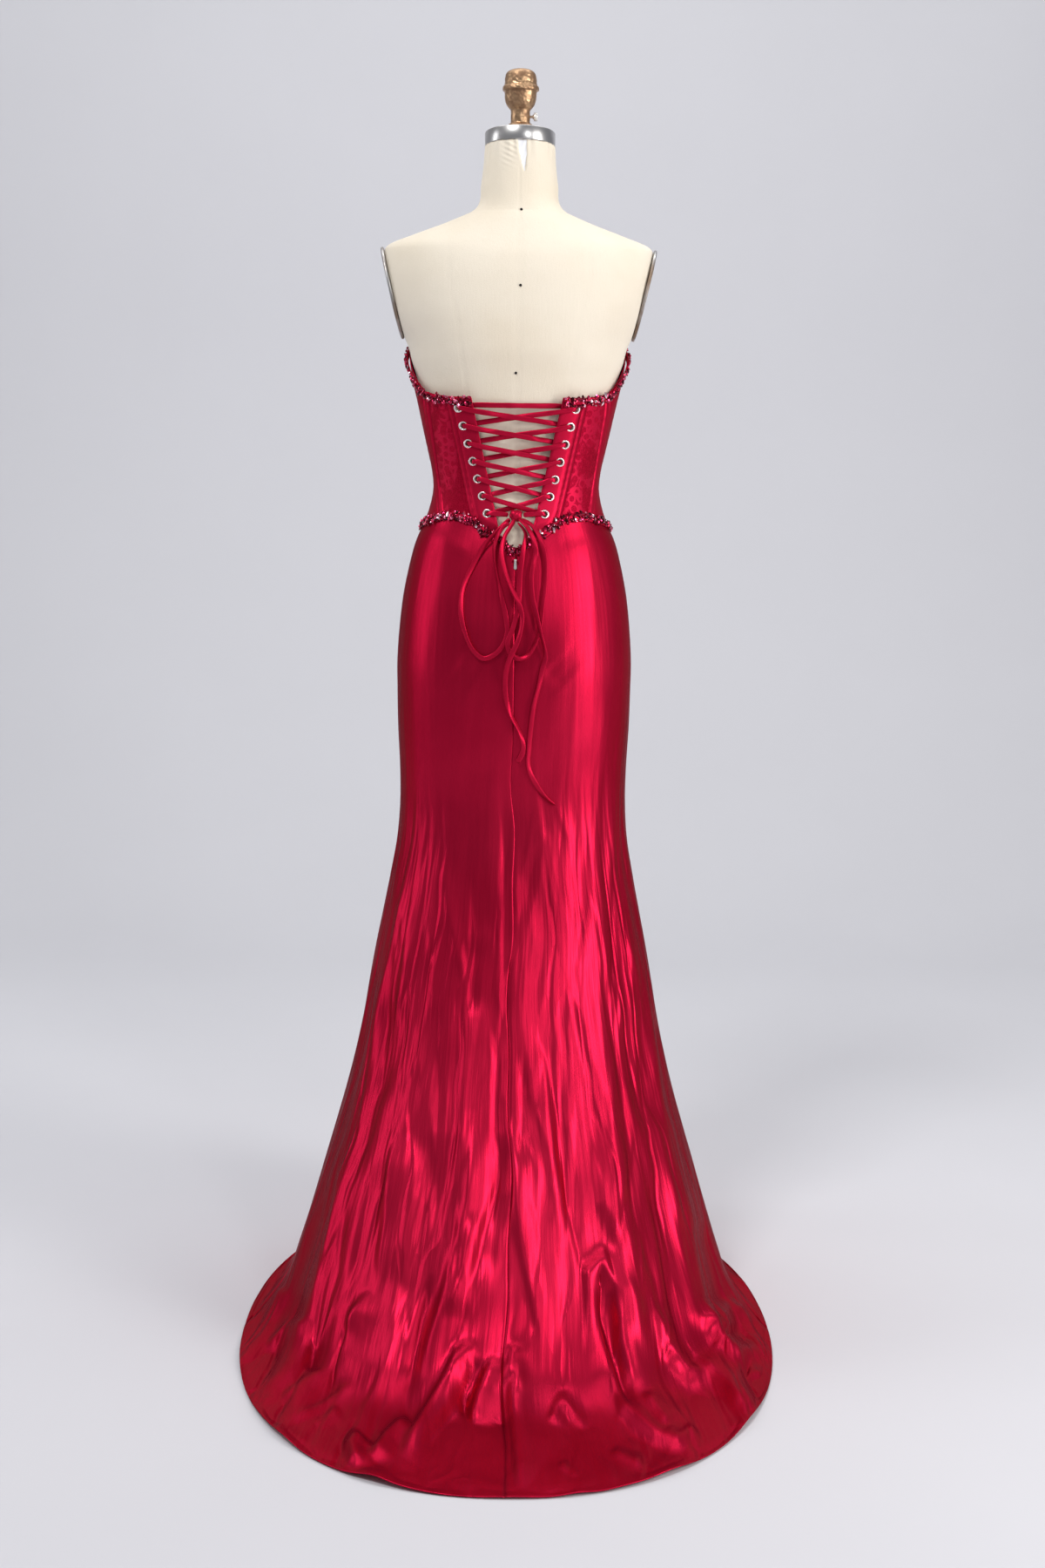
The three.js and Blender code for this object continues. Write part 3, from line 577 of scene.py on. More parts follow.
WAISTLINE = Curve(
    [0, 3, 7, 11, 17, 25, 41, 60, 90, 130, 180],
    [1070, 1075, 1087, 1092, 1097, 1110, 1118, 1113, 1102, 1090, 1066],
)
SEAM_TOP, SEAM_LOW = 1276, 1110
SEAMS = {  # half width at the top and at the low height
    "flap": (60.5, 25),
    "innerA": (89, 53),
    "innerB": (97, 60),
    "outerA": (122, 98),
    "outerB": (128.5, 105),
}
CORSET_FROM = SEAM_LOW - 60  # above this the surface is the corset's
FRONT_SEAM = 138
STAND_OFF, STAND_FULL, STAND_END = 4.2, 20, 38


def turned_back(phi):
    """Degrees from the centre back, 0 to 180, alike on both sides."""
    return np.abs(np.arctan2(np.sin(phi), np.cos(phi))) / DEG


def oval(phi, half, back, front, middle=0):
    """x and y of a section: an oval squarer than an ellipse, with its own depth each way."""
    s, c = np.sin(phi), np.cos(phi)
    depth = np.where(c >= 0, back - middle, front + middle)
    return (
        half * np.sign(s) * np.abs(s) ** ROUND,
        middle + depth * np.sign(c) * np.abs(c) ** ROUND,
    )


def dress_point(phi, v):
    """The smooth outer surface in mm: each section's oval, its height eased from side to ends."""
    row = SECTION(v)
    half, middle, back, front, side_z, back_z, front_z = np.moveaxis(row, -1, 0)
    x, y = oval(phi, half, back, front, middle)
    c = np.cos(phi)
    z = side_z + c * c * (np.where(c >= 0, back_z, front_z) - side_z)
    return np.stack([x, y, z], -1)


def dress_normal(phi, v):
    along = dress_point(phi + 1e-3, v) - dress_point(phi - 1e-3, v)
    up = dress_point(phi, v + 1) - dress_point(phi, np.maximum(HEM, v - 1))
    return unit(np.cross(up, along))


def fold_lift(phi, v):
    """The main folds: each a bell across its line, growing below its top and easing at the hem."""
    lift = 0
    for angle, width, height, top, drift in FOLDS:
        away = phi / DEG - (angle + drift * np.clip((300 - v) / 440, 0, 1))
        away = away - 360 * np.round(away / 360)
        laid = FOLD_LAID + (1 - FOLD_LAID) * ease((v - HEM) / 130)
        lift = lift + height * ease((top - v) / FOLD_GROWS) * laid * bell(away, width)
    return lift


def phi_at(x, z):
    share = np.minimum(1, np.abs(x) / SECTION(z)[..., 0])
    return np.sign(x) * np.arcsin(share ** (1 / ROUND))


def seam_x(seam, z):
    top, low = SEAMS[seam]
    return low + (top - low) * (z - SEAM_LOW) / (SEAM_TOP - SEAM_LOW)


def corset_lift(phi, z):
    """The lacing panels stand off beside the gap, and the stand-off fades over a few rows."""
    away = np.abs(dress_point(phi, z)[..., 0]) - seam_x("flap", z)
    beside = 1 - ease((away - STAND_FULL) / (STAND_END - STAND_FULL))
    shown = (z >= CORSET_FROM) & (turned_back(phi) <= 90)
    return STAND_OFF * beside * ease((z - WAISTLINE(turned_back(phi))) / 16) * shown


def over(phi, v, out=0):
    """A point out mm above the dress's outer face, in mm."""
    phi, v = np.broadcast_arrays(np.asarray(phi, float), np.asarray(v, float))
    lift = np.where(v > CORSET_FROM, corset_lift(phi, v), fold_lift(phi, v)) + out
    point = dress_point(phi, v) + dress_normal(phi, v) * lift[..., None]
    point[..., 2] = np.maximum(0, point[..., 2])
    return point


# Creases in the back of the skirt, drawn where the picture shows them
PICTURE = {"width": 1200, "height": 1800, "sensor": 36}
CREASES = [  # width in pixels, height in mm, then across and down of each point of its line in
    # pixels of the picture
    (7, -3, 579, 881, 580, 1003, 579, 1146, 571, 1253, 557, 1417),
    (2.5, 1.6, 588, 896, 588, 1110, 586, 1417),
    (5, -3.5, 600, 1217, 600, 1289, 595, 1342),
    (5, -1.8, 533, 1074, 541, 1167),
    (5, -1.8, 547, 1074, 541, 1167),
    (6, 1.5, 504, 978, 518, 1060, 538, 1146),
    (6, 1.2, 489, 1039, 498, 1110, 500, 1181),
    (6, 2, 461, 1028, 468, 1124),
    (7, 3, 459, 1003, 454, 1110, 436, 1164, 421, 1253),
    (8, -4, 446, 1146, 438, 1217, 434, 1271),
    (6, -3.5, 705, 971, 707, 1074, 704, 1156),
    (8, 4, 714, 1060, 736, 1131, 752, 1217, 754, 1271),
    (9, -5, 716, 1164, 723, 1235, 743, 1299),
    (5, 1.6, 677, 974, 677, 1046, 665, 1110, 675, 1199, 704, 1289),
    (8, -4.5, 614, 1174, 630, 1217, 643, 1324, 662, 1417),
    (8, 3, 604, 1181, 611, 1253, 632, 1324, 643, 1417),
    (6, 1.5, 650, 1131, 664, 1203, 686, 1289),
    (8, 3, 486, 1164, 471, 1253, 446, 1324, 436, 1417),
    (8, -3.5, 504, 1199, 502, 1306, 496, 1417),
    (8, 3.5, 536, 1274, 521, 1342, 507, 1417),
    (8, -4, 732, 1299, 725, 1360, 714, 1417),
    (8, 4, 750, 1271, 764, 1342, 779, 1417),
    (4, 1, 600, 978, 629, 953),
    (4, 1, 614, 931, 600, 1010),
    (4, 0.8, 638, 924, 654, 967),
    (4, 0.8, 529, 931, 523, 1003),
    (4, 1, 564, 881, 557, 1003),
    (7, -2.5, 664, 1253, 666, 1417),
    (7, 2.5, 704, 1199, 704, 1417),
    (9, 12.2, 429, 1482, 407, 1513, 391, 1553, 382, 1599),
    (6, -8.1, 403, 1513, 385, 1553, 378, 1599),
    (7, -9.5, 495, 1460, 479, 1521, 469, 1565, 468, 1599),
    (10, 7, 547, 1388, 533, 1456, 515, 1513),
    (9, 16.2, 548, 1541, 527, 1557, 511, 1589, 487, 1629, 463, 1672),
    (7, -10.8, 547, 1553, 537, 1589, 511, 1629, 475, 1671),
    (7, 10.8, 569, 1557, 551, 1597, 540, 1637),
    (5, -8.1, 531, 1597, 532, 1621, 539, 1641),
    (8, 12.2, 471, 1625, 443, 1649, 427, 1675),
    (9, 12.2, 415, 1641, 403, 1661, 411, 1687),
    (6, 5, 326, 1476, 294, 1501),
    (6, 6.8, 356, 1513, 330, 1525, 306, 1549),
    (6, 5.4, 374, 1565, 350, 1581, 322, 1605),
    (6, 5.4, 413, 1589, 374, 1609, 336, 1625),
    (5, -8.1, 356, 1533, 352, 1569),
    (6, 4.1, 391, 1617, 358, 1637),
    (8, 12.2, 678, 1557, 677, 1460, 690, 1447, 708, 1480, 716, 1541, 732, 1605, 739, 1630),
    (7, -10.8, 688, 1472, 696, 1513, 712, 1569, 728, 1621),
    (8, 12.2, 706, 1597, 716, 1615, 752, 1641, 788, 1663),
    (6, 8.1, 738, 1597, 752, 1613, 770, 1639),
    (8, 14.9, 806, 1490, 810, 1513, 826, 1541, 849, 1553, 877, 1558),
    (8, 12.2, 748, 1497, 762, 1545, 788, 1575, 820, 1573),
    (8, 10.8, 804, 1551, 828, 1581, 861, 1623),
    (6, 8.1, 830, 1488, 832, 1533),
    (6, 5, 845, 1497, 869, 1515),
    (5, 5.4, 857, 1573, 877, 1578),
    (6, 6.8, 638, 1599, 656, 1621, 674, 1641),
    (5, 5.4, 642, 1607, 632, 1637),
    (6, 4.1, 800, 1641, 772, 1661),
    (5, 8.1, 579, 1589, 589, 1553, 596, 1605),
    (8, 12.2, 587, 1560, 592, 1640, 599, 1724),
    (6, 5.4, 700, 1660, 740, 1680),
    (6, 4.7, 640, 1680, 665, 1700),
    (14, -8, 496, 1300, 490, 1380, 470, 1450, 452, 1530),
    (10, 8, 545, 1290, 537, 1380, 514, 1471, 480, 1578),
    (9, -7, 575, 1300, 568, 1380, 552, 1440, 540, 1480),
    (9, 7, 592, 1300, 594, 1380, 605, 1453, 615, 1498, 624, 1560),
    (12, -8, 650, 1290, 655, 1380, 669, 1434, 676, 1494, 680, 1553),
    (14, 8, 690, 1290, 696, 1380, 714, 1425, 733, 1516, 760, 1571),
    (10, -8, 745, 1330, 760, 1407, 774, 1494, 787, 1571),
    (6, 7, 765, 1330, 778, 1407, 801, 1507, 833, 1548),
    (9, -6, 800, 1400, 812, 1425, 833, 1516),
    (12, 7, 400, 1300, 385, 1380, 372, 1440, 350, 1530),
    (9, -6, 425, 1330, 410, 1420, 395, 1480),
    (9, 6, 455, 1300, 445, 1400, 432, 1470),
    (14, -2.2, 522, 762, 548, 778),
    (12, -2, 628, 766, 648, 786),
    (4, 0.7, 488, 612, 520, 621),
    (4, 0.7, 498, 620, 542, 634),
    (5, -0.8, 640, 622, 676, 616),
    (6, -6.8, 571, 1621, 577, 1665),
]


def in_picture(points):
    """Where points in mm are in the picture, in its pixels, through the camera."""
    focal = CAMERA["lens"] / PICTURE["sensor"] * PICTURE["height"]
    view = np.array(bpy.context.scene.camera.matrix_world.inverted())
    seen = points * MM @ view[:3, :3].T + view[:3, 3]
    across = PICTURE["width"] / 2 - focal * seen[..., 0] / seen[..., 2]
    down = PICTURE["height"] / 2 + focal * seen[..., 1] / seen[..., 2]
    return np.stack([across, down], -1)


def crease_lift(phi, v):
    """Ridges and troughs along lines: steep to the left of a line, broad to its right, and fading
    at both ends."""
    seen = in_picture(over(phi, v))
    lift = 0
    for width, height, *line in CREASES:
        line = np.array(line, float).reshape(-1, 2)
        start = lengths(line)
        legs = np.linalg.norm(np.diff(line, axis=0), axis=1)
        nearest = np.full(phi.shape, 1e9)
        share, right = np.zeros(phi.shape), np.zeros(phi.shape)
        for k, leg in enumerate(legs):
            along = (line[k + 1] - line[k]) / leg
            reach = np.clip((seen - line[k]) @ along, 0, leg)
            beside = seen - line[k] - reach[..., None] * along
            away = np.linalg.norm(beside, axis=-1)
            closer = away < nearest
            share = np.where(closer, (start[k] + reach) / start[-1], share)
            right = np.where(closer, beside[..., 0] / (away + 0.1), right)
            nearest = np.minimum(nearest, away)
        fade = ease(share / 0.3 + 0.15) * ease((1 - share) / 0.3 + 0.15)
        spread = width * (1.45 + 0.75 * right)
        lift = lift + height * fade * np.exp(-((nearest / spread) ** 1.7))
    return lift * ease(np.cos(phi) / 0.2)


RIPPLES = {"seed": 5, "count": 32, "radius": 170, "longest": 75}


def ripple(phi, v):
    """Uneven satin: waves that run up the cloth, leaning both ways, sharper at their crests."""
    waves = np.random.default_rng(RIPPLES["seed"])
    lift = 0
    along = phi * RIPPLES["radius"]
    for _ in range(RIPPLES["count"]):
        length = waves.uniform(19, RIPPLES["longest"])
        lean = waves.normal(0, 0.11)
        start = waves.uniform(0, 2 * math.pi)
        bend = 0.7 * np.sin(v / waves.uniform(60, 180) + start)
        turn = 2 * math.pi * (along + lean * v) / length + start + bend
        crest = 1 - 2 * np.abs(np.sin(turn / 2))
        drift = v / waves.uniform(50, 120) + phi * waves.uniform(2, 7)
        patch = ease(0.4 + 0.9 * np.sin(drift + start))
        wave = (0.5 * np.sin(turn) + 0.8 * crest) * patch * length / RIPPLES["longest"]
        lift = lift + wave * waves.uniform(0.4, 1.2)
    return lift


# Skirt: three panels cut from hem to waist, the hem off the floor at a few places
LIFTED = [(23, 4, 6), (48, 5, 3), (-33, 6, 3), (-57, 5, 4), (-12, 3, 2.5)]  # degrees, width, mm
SKIRT_GAP = 0.25
SKIRT_THICK = 1.1
SIDE = 90
SMOOTH_FROM, SMOOTH_OVER = 960, 500  # ripples grow down from the first height, over the second


def skirt_panel(name, start, end, columns, rows):
    """One skirt panel: over the dress from hem to waist, raised by folds, creases and ripples."""
    s, t = np.meshgrid(np.linspace(0, 1, columns), np.linspace(0, 1, rows))
    phi = (start + (end - start) * s) * DEG
    top = WAISTLINE(turned_back(phi)) - SKIRT_GAP
    v = HEM + (top - HEM) * t**1.25
    loose = ease((SMOOTH_FROM - v) / SMOOTH_OVER)
    slack = 0.12 + 0.68 * loose**1.3 + 0.5 * ease((20 - v) / 60)
    beside_seam = ease(np.abs(turned_back(phi) - SIDE) / 9)
    fine = ripple(phi, v) * slack * ease((top - v) / 90) * beside_seam
    # The seams wander a few millimetres either way
    sway = 2.4 * np.sin(v / 62 + 1) + 1.3 * np.sin(v / 23)
    half = SECTION(v)[..., 0]
    phi = phi + np.cos(phi) * sway / half * ease((850 - v) / 150) * ease((v - HEM) / 60)
    lift = crease_lift(phi, v) + fine
    low = ease((v - HEM) / 25)
    # The seams pull in a little, and the centre back seam puckers
    seam = np.minimum(s, 1 - s) * (end - start) * DEG * half
    pulled = -0.7 * bell(seam, 2.4) * (1 + 0.4 * np.sin(v / 7))
    softer = (FOLD_SHOWN - 1) * fold_lift(phi, v)
    points = over(phi, v, lift * low + pulled + softer)
    points[..., 2] = np.maximum(points[..., 2], 1.2 + 1.5 * low)
    for angle, wide, height in LIFTED:
        away = (phi / DEG - angle) / wide
        points[..., 2] += height * bell(away, 1) * ease((HEM + 45 - v) / 45)
    faces = grid_faces(rows, columns)
    uv = np.stack([s, t], -1).reshape(-1, 2)
    surface = points.reshape(-1, 3) * MM
    piece = mesh_object(name + "_satin", surface, faces, SATIN, "satin", uv, name)
    thicken(piece, SKIRT_THICK * MM)


for word, start in (("left", 0), ("right", -SIDE)):
    skirt_panel("skirt_back_" + word, start, start + SIDE, 185, 260)
skirt_panel("skirt_front", SIDE, 360 - SIDE, 150, 150)


# Corset
CHANNEL = 1.2
CORSET_THICK, CORSET_ROWS = 1.3, 100
EYELET = {"count": 7, "topX": 78, "lowX": 38.5, "topZ": 1265.5, "lowZ": 1121}
HOLE = 5.2


def hug(phi, v):
    """How far the cloth is pulled towards the form along its top edge, beyond the lacing panels."""
    angle = turned_back(phi)
    return 2.6 * ease((v - NECKLINE(angle) + 34) / 34) * ease((angle - 50) / 15)


def seam_line(edge, side):
    if isinstance(edge, str):
        return lambda v: side * phi_at(seam_x(edge, v), v)
    return lambda v: np.full_like(v, side * edge * DEG)


def eyelet_frames(side):
    """Where the eyelets sit: centre in mm, outward normal, and the direction to the centre back."""
    t = np.linspace(0, 1, EYELET["count"])
    z = EYELET["topZ"] + (EYELET["lowZ"] - EYELET["topZ"]) * t
    phi = phi_at(side * (EYELET["topX"] + (EYELET["lowX"] - EYELET["topX"]) * t), z)
    point = over(phi, z)
    inward = unit(over(phi - side * 0.02, z) - point)
    return point, dress_normal(phi, z), inward, z


def corset_panel(name, edges, side, columns, material, slot, boned=False, holes=()):
    """A corset panel between two seam lines, its edges turned in, its channel padded if boned."""
    s, t = np.meshgrid(np.linspace(0, 1, columns), np.linspace(0, 1, CORSET_ROWS))
    near, far = (seam_line(edge, side) for edge in edges)
    left, right = (near, far) if side > 0 else (far, near)
    v = np.full_like(s, 1200.0)
    # The seams lean, so angle and height are found together, each closer than the last time
    for _ in range(4):
        phi = left(v) + (right(v) - left(v)) * s
        low, high = WAISTLINE(turned_back(phi)) + SKIRT_GAP, NECKLINE(turned_back(phi))
        v = low + (high - low) * t
    wide = np.linalg.norm(dress_point(right(v), v) - dress_point(left(v), v), axis=-1)
    edge = np.minimum(s, 1 - s) * wide
    lift = -0.9 * bell(edge, 1.6)
    if boned:
        lift = lift + CHANNEL * (1 - np.abs(2 * s - 1) ** 6) - 0.35 * bell(edge - 2, 0.5)
    lift = lift + 0.22 * np.sin(v / 1.9 + 2 * np.sin(v / 31)) * bell(edge, 4)
    points = over(phi, v, lift - hug(phi, v))
    faces = grid_faces(CORSET_ROWS, columns)
    surface = points.reshape(-1, 3)
    if len(holes):
        centres = surface[faces].mean(1)
        near_hole = np.linalg.norm(centres[:, None] - holes[None], axis=-1).min(1) < HOLE
        faces = faces[~near_hole]
    uv = np.stack([s, t], -1).reshape(-1, 2)
    piece = mesh_object(name + "_cloth", surface * MM, faces, material, slot, uv, name)
    thicken(piece, CORSET_THICK * MM)


for word, side in SIDES:
    holes = eyelet_frames(side)[0]
    flap = ("flap", "innerA")
    corset_panel("lacing_panel_" + word, flap, side, 44, CORSET, "satin", holes=holes)
    corset_panel("inner_boning_" + word, ("innerA", "innerB"), side, 14, CORSET, "satin", True)
    corset_panel("lace_panel_" + word, ("innerB", "outerA"), side, 30, LACE, "lace")
    corset_panel("outer_boning_" + word, ("outerA", "outerB"), side, 14, CORSET, "satin", True)
    corset_panel("side_panel_" + word, ("outerB", 90), side, 40, CORSET, "satin")
    corset_panel("front_side_panel_" + word, (90, FRONT_SEAM), side, 34, CORSET, "satin")
corset_panel("front_centre_panel", (FRONT_SEAM, 360 - FRONT_SEAM), 1, 50, CORSET, "satin")


# Sewing: short stitches laid along a line of surface points
def stitches(name, lines, size, material, slot):
    """Small boat-shaped stitches; lines holds (points, normals) in mm, a stitch at every point."""
    around, ends = circle(6), np.linspace(-1, 1, 5)
    girth = np.sqrt(1 - 0.9 * ends**2)
    across, up = (np.outer(girth, part).ravel() for part in (np.cos(around), np.sin(around)))
    shape = np.stack([np.repeat(ends, len(around)), across, up], -1) * np.array(size)
    faces = grid_faces(len(ends), len(around), loop_columns=True)
    sets = []
    for points, normals in lines:
        ahead = unit(np.gradient(points, axis=0))
        beside = unit(np.cross(normals, ahead))
        turn = np.stack([ahead, beside, np.cross(ahead, beside)], -1)
        placed = points[:, None] + np.einsum("sij,vj->svi", turn, shape)
        for stitch in placed:
            sets.append((stitch * MM, faces))
    points, faces = joined(sets)
    mesh_object(name, points, faces, material, slot)


def stepped(points, step):
    """Stations every step mm along a line of points."""
    length = lengths(points)
    at = np.arange(step / 2, length[-1], step)
    return np.stack([np.interp(at, length, points[:, k]) for k in range(3)], -1)


STITCH, STITCH_STEP = (1.0, 0.22, 0.22), 2.6


def seam_stitches(name, edge, side, shifts, out):
    """Rows of stitches beside a corset seam, at set distances from it."""
    lines = []
    for shift in shifts:
        v = np.linspace(1100, 1300, 300)
        phi = side * phi_at(seam_x(edge, v) + shift, v)
        angle = turned_back(phi)
        kept = (v > WAISTLINE(angle) + 6) & (v < NECKLINE(angle) - 6)
        line = stepped(over(phi[kept], v[kept], out), STITCH_STEP)
        nearest = np.linspace(0, kept.sum() - 1, len(line)).astype(int)
        above = over(phi[kept], v[kept], out + 1)[nearest]
        lines.append((line, unit(above - line)))
    stitches(name, lines, STITCH, CORSET, "satin")


for word, side in SIDES:
    seam_stitches("stitching_flap_" + word, "flap", side, (2.5, 29), -0.05)
    seam_stitches("stitching_inner_" + word, "innerA", side, (-2.4, 1.7, 5.8, 9.8), 0.9)
    seam_stitches("stitching_outer_" + word, "outerA", side, (-2.2, 1.6, 5.2, 8.8), 0.9)


# Eyelets: a rolled flange, a rounded rim and a barrel, turned about each eyelet's axis
EYELET_PROFILE = [  # radius, height over the cloth
    (7.3, -0.1),
    (7.35, 0.25),
    (7.1, 0.6),
    (6.5, 1.0),
    (5.7, 1.45),
    (5.0, 1.6),
    (4.4, 1.35),
    (4.1, 0.7),
    (4.0, -0.6),
    (4.0, -2.4),
    (4.5, -2.4),
    (4.6, -0.4),
]


def turned(rows, segments, close=False):
    """Points and faces of a profile of (radius, height) rows turned about +Z, in its own units."""
    rows = np.array(rows, float)
    angle = circle(segments)
    radius, height = rows[:, :1], np.repeat(rows[:, 1:], segments, 1)
    points = np.stack([radius * np.cos(angle), radius * np.sin(angle), height], -1)
    return points, grid_faces(len(rows), segments, loop_rows=close, loop_columns=True)


def upright(normal):
    """A turn that takes +Z to a normal, as columns."""
    beside = unit(np.cross(normal, [0.0, 0.3, 1.0]))
    return np.stack([beside, np.cross(normal, beside), normal], -1)


for word, side in SIDES:
    shape, faces = turned(EYELET_PROFILE, 36, close=True)
    for row, (centre, normal, _, _) in enumerate(zip(*eyelet_frames(side))):
        placed = centre + shape.reshape(-1, 3) @ upright(normal).T
        place = f"{word}_{row + 1}"
        node = "eyelet_" + place
        mesh_object("eyelet_ring_" + place, placed * MM, faces, NICKEL, "steel", node=node)


# Lacing: out of an eyelet, over its flap, across the gap and under the other flap
LACE_WIDE, LACE_THICK = 7.2, 1.7
BAR_Z = 1268.5
KNOT = {"z": 1118.5, "out": 5.6, "wide": 9.6, "deep": 6.5, "tall": 8}
ROUND_EYELET = [(6.5, -4.7), (1.2, -4.2), (-0.6, -1.8), (-0.6, 0.8), (1, 3.4), (6.5, 4)]
OVER_FLAP, UNDER_FLAP = STAND_OFF + 2.3, STAND_OFF - CLOTH - 2.5


def in_gap(x, z, out):
    """A point out mm above the smooth surface, at this x and height."""
    phi = phi_at(x, z)
    return dress_point(phi, z) + dress_normal(phi, z) * out


def lacing_half(name, start_side, over_first):
    """Half of the lacing, from the top bar down to the knot, crossing over and under the other."""
    frames = {side: eyelet_frames(side) for side in (1, -1)}
    start = EYELET["topX"] - 8
    path = []
    if start_side > 0:
        path.append(in_gap(-start, BAR_Z - 2, UNDER_FLAP))
        for share in (-1, -0.5, 0, 0.5, 1):
            path.append(in_gap(share * seam_x("flap", BAR_Z), BAR_Z, UNDER_FLAP))
    else:
        path.append(in_gap(-start - 0.9, BAR_Z - 2.6, UNDER_FLAP))
    side = start_side
    for row in range(EYELET["count"]):
        point, normal, inward, z = (column[row] for column in frames[side])
        path += [point + inward * along + normal * out for along, out in ROUND_EYELET]
        if row == EYELET["count"] - 1:
            break
        beyond, next_z = frames[-side][0][row + 1], frames[-side][3][row + 1]
        if (row % 2 == 0) == over_first:
            heights = (OVER_FLAP, 5.3, 4, 1.6, UNDER_FLAP)
        else:
            heights = (OVER_FLAP, 2.9, -0.3, -0.3, UNDER_FLAP)
        reach = abs(point[0]) + abs(beyond[0])
        for share, out in zip((1, 0.5, 0, -0.5, -1), heights):
            x = side * share * seam_x("flap", (z + next_z) / 2)
            path.append(in_gap(x, z + (next_z - z) * abs(point[0] - x) / reach, out))
        side = -side
    path.append(in_gap(side * 20, KNOT["z"] + 1.6, OVER_FLAP))
    path.append(in_gap(side * (KNOT["wide"] + 0.6), KNOT["z"] + 1, KNOT["out"] + 0.5))
    path = smooth_path(path, 1.6)
    share = np.linspace(0, 1, len(path))
    roll = 0.3 * np.sin(share * 60 + start_side) + 0.12 * np.sin(share * 150)
    # Narrower where it is drawn through an eyelet
    pinch = 1.0
    for centre in np.concatenate([frames[1][0], frames[-1][0]]):
        away = np.linalg.norm(path / MM - centre, axis=1)
        pinch = pinch * (1 - 0.35 * bell(away, 5))
    facing = unit(path * [0.55, 1, 0])
    points, faces = ribbon(path, LACE_WIDE * MM, LACE_THICK * MM, roll, pinch, facing)
    mesh_object(name + "_satin", points, faces, CORD, "satin", node=name)


lacing_half("lacing_left", 1, True)
lacing_half("lacing_right", -1, False)


def knot():
    """The knot: a ball with furrows between its turns, and two bands wrapped round it aslant."""
    around, up = np.meshgrid(circle(48), np.linspace(-1, 1, 28))
    level = up * math.pi / 2 * 0.98
    furrow = 1 - 0.12 * np.abs(np.sin(1.5 * around + 2.2 * up)) ** 6
    size = np.array([KNOT["wide"], KNOT["deep"], KNOT["tall"]]) * 0.94
    flat = np.cos(level)
    ball = np.stack([flat * np.cos(around), flat * np.sin(around), np.sin(level)], -1)
    centre = in_gap(0, KNOT["z"], KNOT["out"])
    points = (ball * furrow[..., None] * size).reshape(-1, 3) + centre
    sets = [(points, grid_faces(*up.shape, loop_columns=True))]
    turn, across = np.linspace(0, 2 * math.pi, 49)[:-1], circle(10)
    for lean, lift in ((0.5, 0.1), (-0.6, -0.15)):
        s, c = math.sin(lean), math.cos(lean)
        ring = np.stack([np.sin(turn) * s, np.cos(turn), np.sin(turn) * c], -1)
        wide = np.array([c, 0, -s])
        band = (
            ring[:, None] * size * (1 + 0.16 * np.sin(across))[None, :, None]
            + wide * (3 * np.cos(across))[None, :, None]
            + wide * lift * size
        )
        sets.append((band.reshape(-1, 3) + centre, grid_faces(48, 10, True, True)))
    points, faces = joined(sets)
    mesh_object("bow_knot_satin", points * MM, faces, CORD, "satin", node="bow_knot")


knot()


# Crystals: faceted stones set close on a padded band
def stone(sides, length, girdle, crown):
    """A cut stone: a table, a girdle twice as far out, and a point below, all of triangles."""
    angle = circle(sides)
    rim = np.stack([np.cos(angle) * length, np.sin(angle) * girdle], -1)
    rings = [(rim * 0.5, crown), (rim, crown * 0.35), (rim * 0.7, 0)]
    points = [[*p, z] for ring, z in rings for p in ring] + [[0, 0, crown * 1.04], [0, 0, 0]]
    faces = []
    for k in range(sides):
        n = (k + 1) % sides
        faces += [[k, n, 3 * sides], [sides + k, sides + n, n], [sides + k, n, k]]
        faces += [[2 * sides + k, 2 * sides + n, sides + n], [2 * sides + k, sides + n, sides + k]]
        faces += [[2 * sides + n, 2 * sides + k, 3 * sides + 1]]
    return np.array(points, float), np.array(faces)


STONES = [  # a cut, its pitch along the band, how far it wanders each way, and how high it sits
    (stone(8, 2.6, 2.6, 2.3), 3, 5.8, 2.8),
    (stone(8, 4.4, 2.1, 2.3), 3.2, 6.2, 3),
    (stone(6, 1.5, 1.5, 1.5), 1.4, 6.8, 2),
]


def beaded(name, line, start, end):
    """A band of crystals along an edge line: stones of three cuts, at uneven places and angles."""
    samples = np.linspace(start, end, 1400)
    centre = over(samples, line(turned_back(samples)), 1.2)
    length = lengths(centre)
    sets, tones_and_glints = [], []
    for (points, faces), pitch, wander, height in STONES:
        at = np.arange(pitch / 2, length[-1], pitch)
        count = len(at)
        phi = np.interp(at + rng.uniform(-1, 1, count), length, samples)
        down = rng.uniform(-wander, wander, count)
        place = over(phi, line(turned_back(phi)) + down, 1.8 + rng.uniform(0, height, count))
        normal = dress_normal(phi, line(turned_back(phi)))
        normal = unit(normal + rng.normal(0, 0.28, (count, 3)))
        ahead = unit(np.cross(normal, rng.normal(0, 1, (count, 3)) + [1.5, 0, 0]))
        turn = np.stack([ahead, np.cross(normal, ahead), normal], -1)
        size = rng.uniform(0.75, 1.15, count)
        placed = place[:, None] + np.einsum("sij,vj->svi", turn, points) * size[:, None, None]
        for stone_points in placed:
            sets.append((stone_points, faces))
            # Each stone's place on the crystals' colour ramp, which gives a few of them painted
            # glints
            tones_and_glints.append(np.full(len(points), rng.uniform()))
    points, faces = joined(sets)
    tone = np.concatenate(tones_and_glints)
    uv = np.stack([tone, tone], -1)
    mesh_object(name, points * MM, faces, CRYSTAL, "beads", uv, smooth=False)


PAD = {"half": 5.2, "out": 1.9, "thick": 1.3, "around": 12}


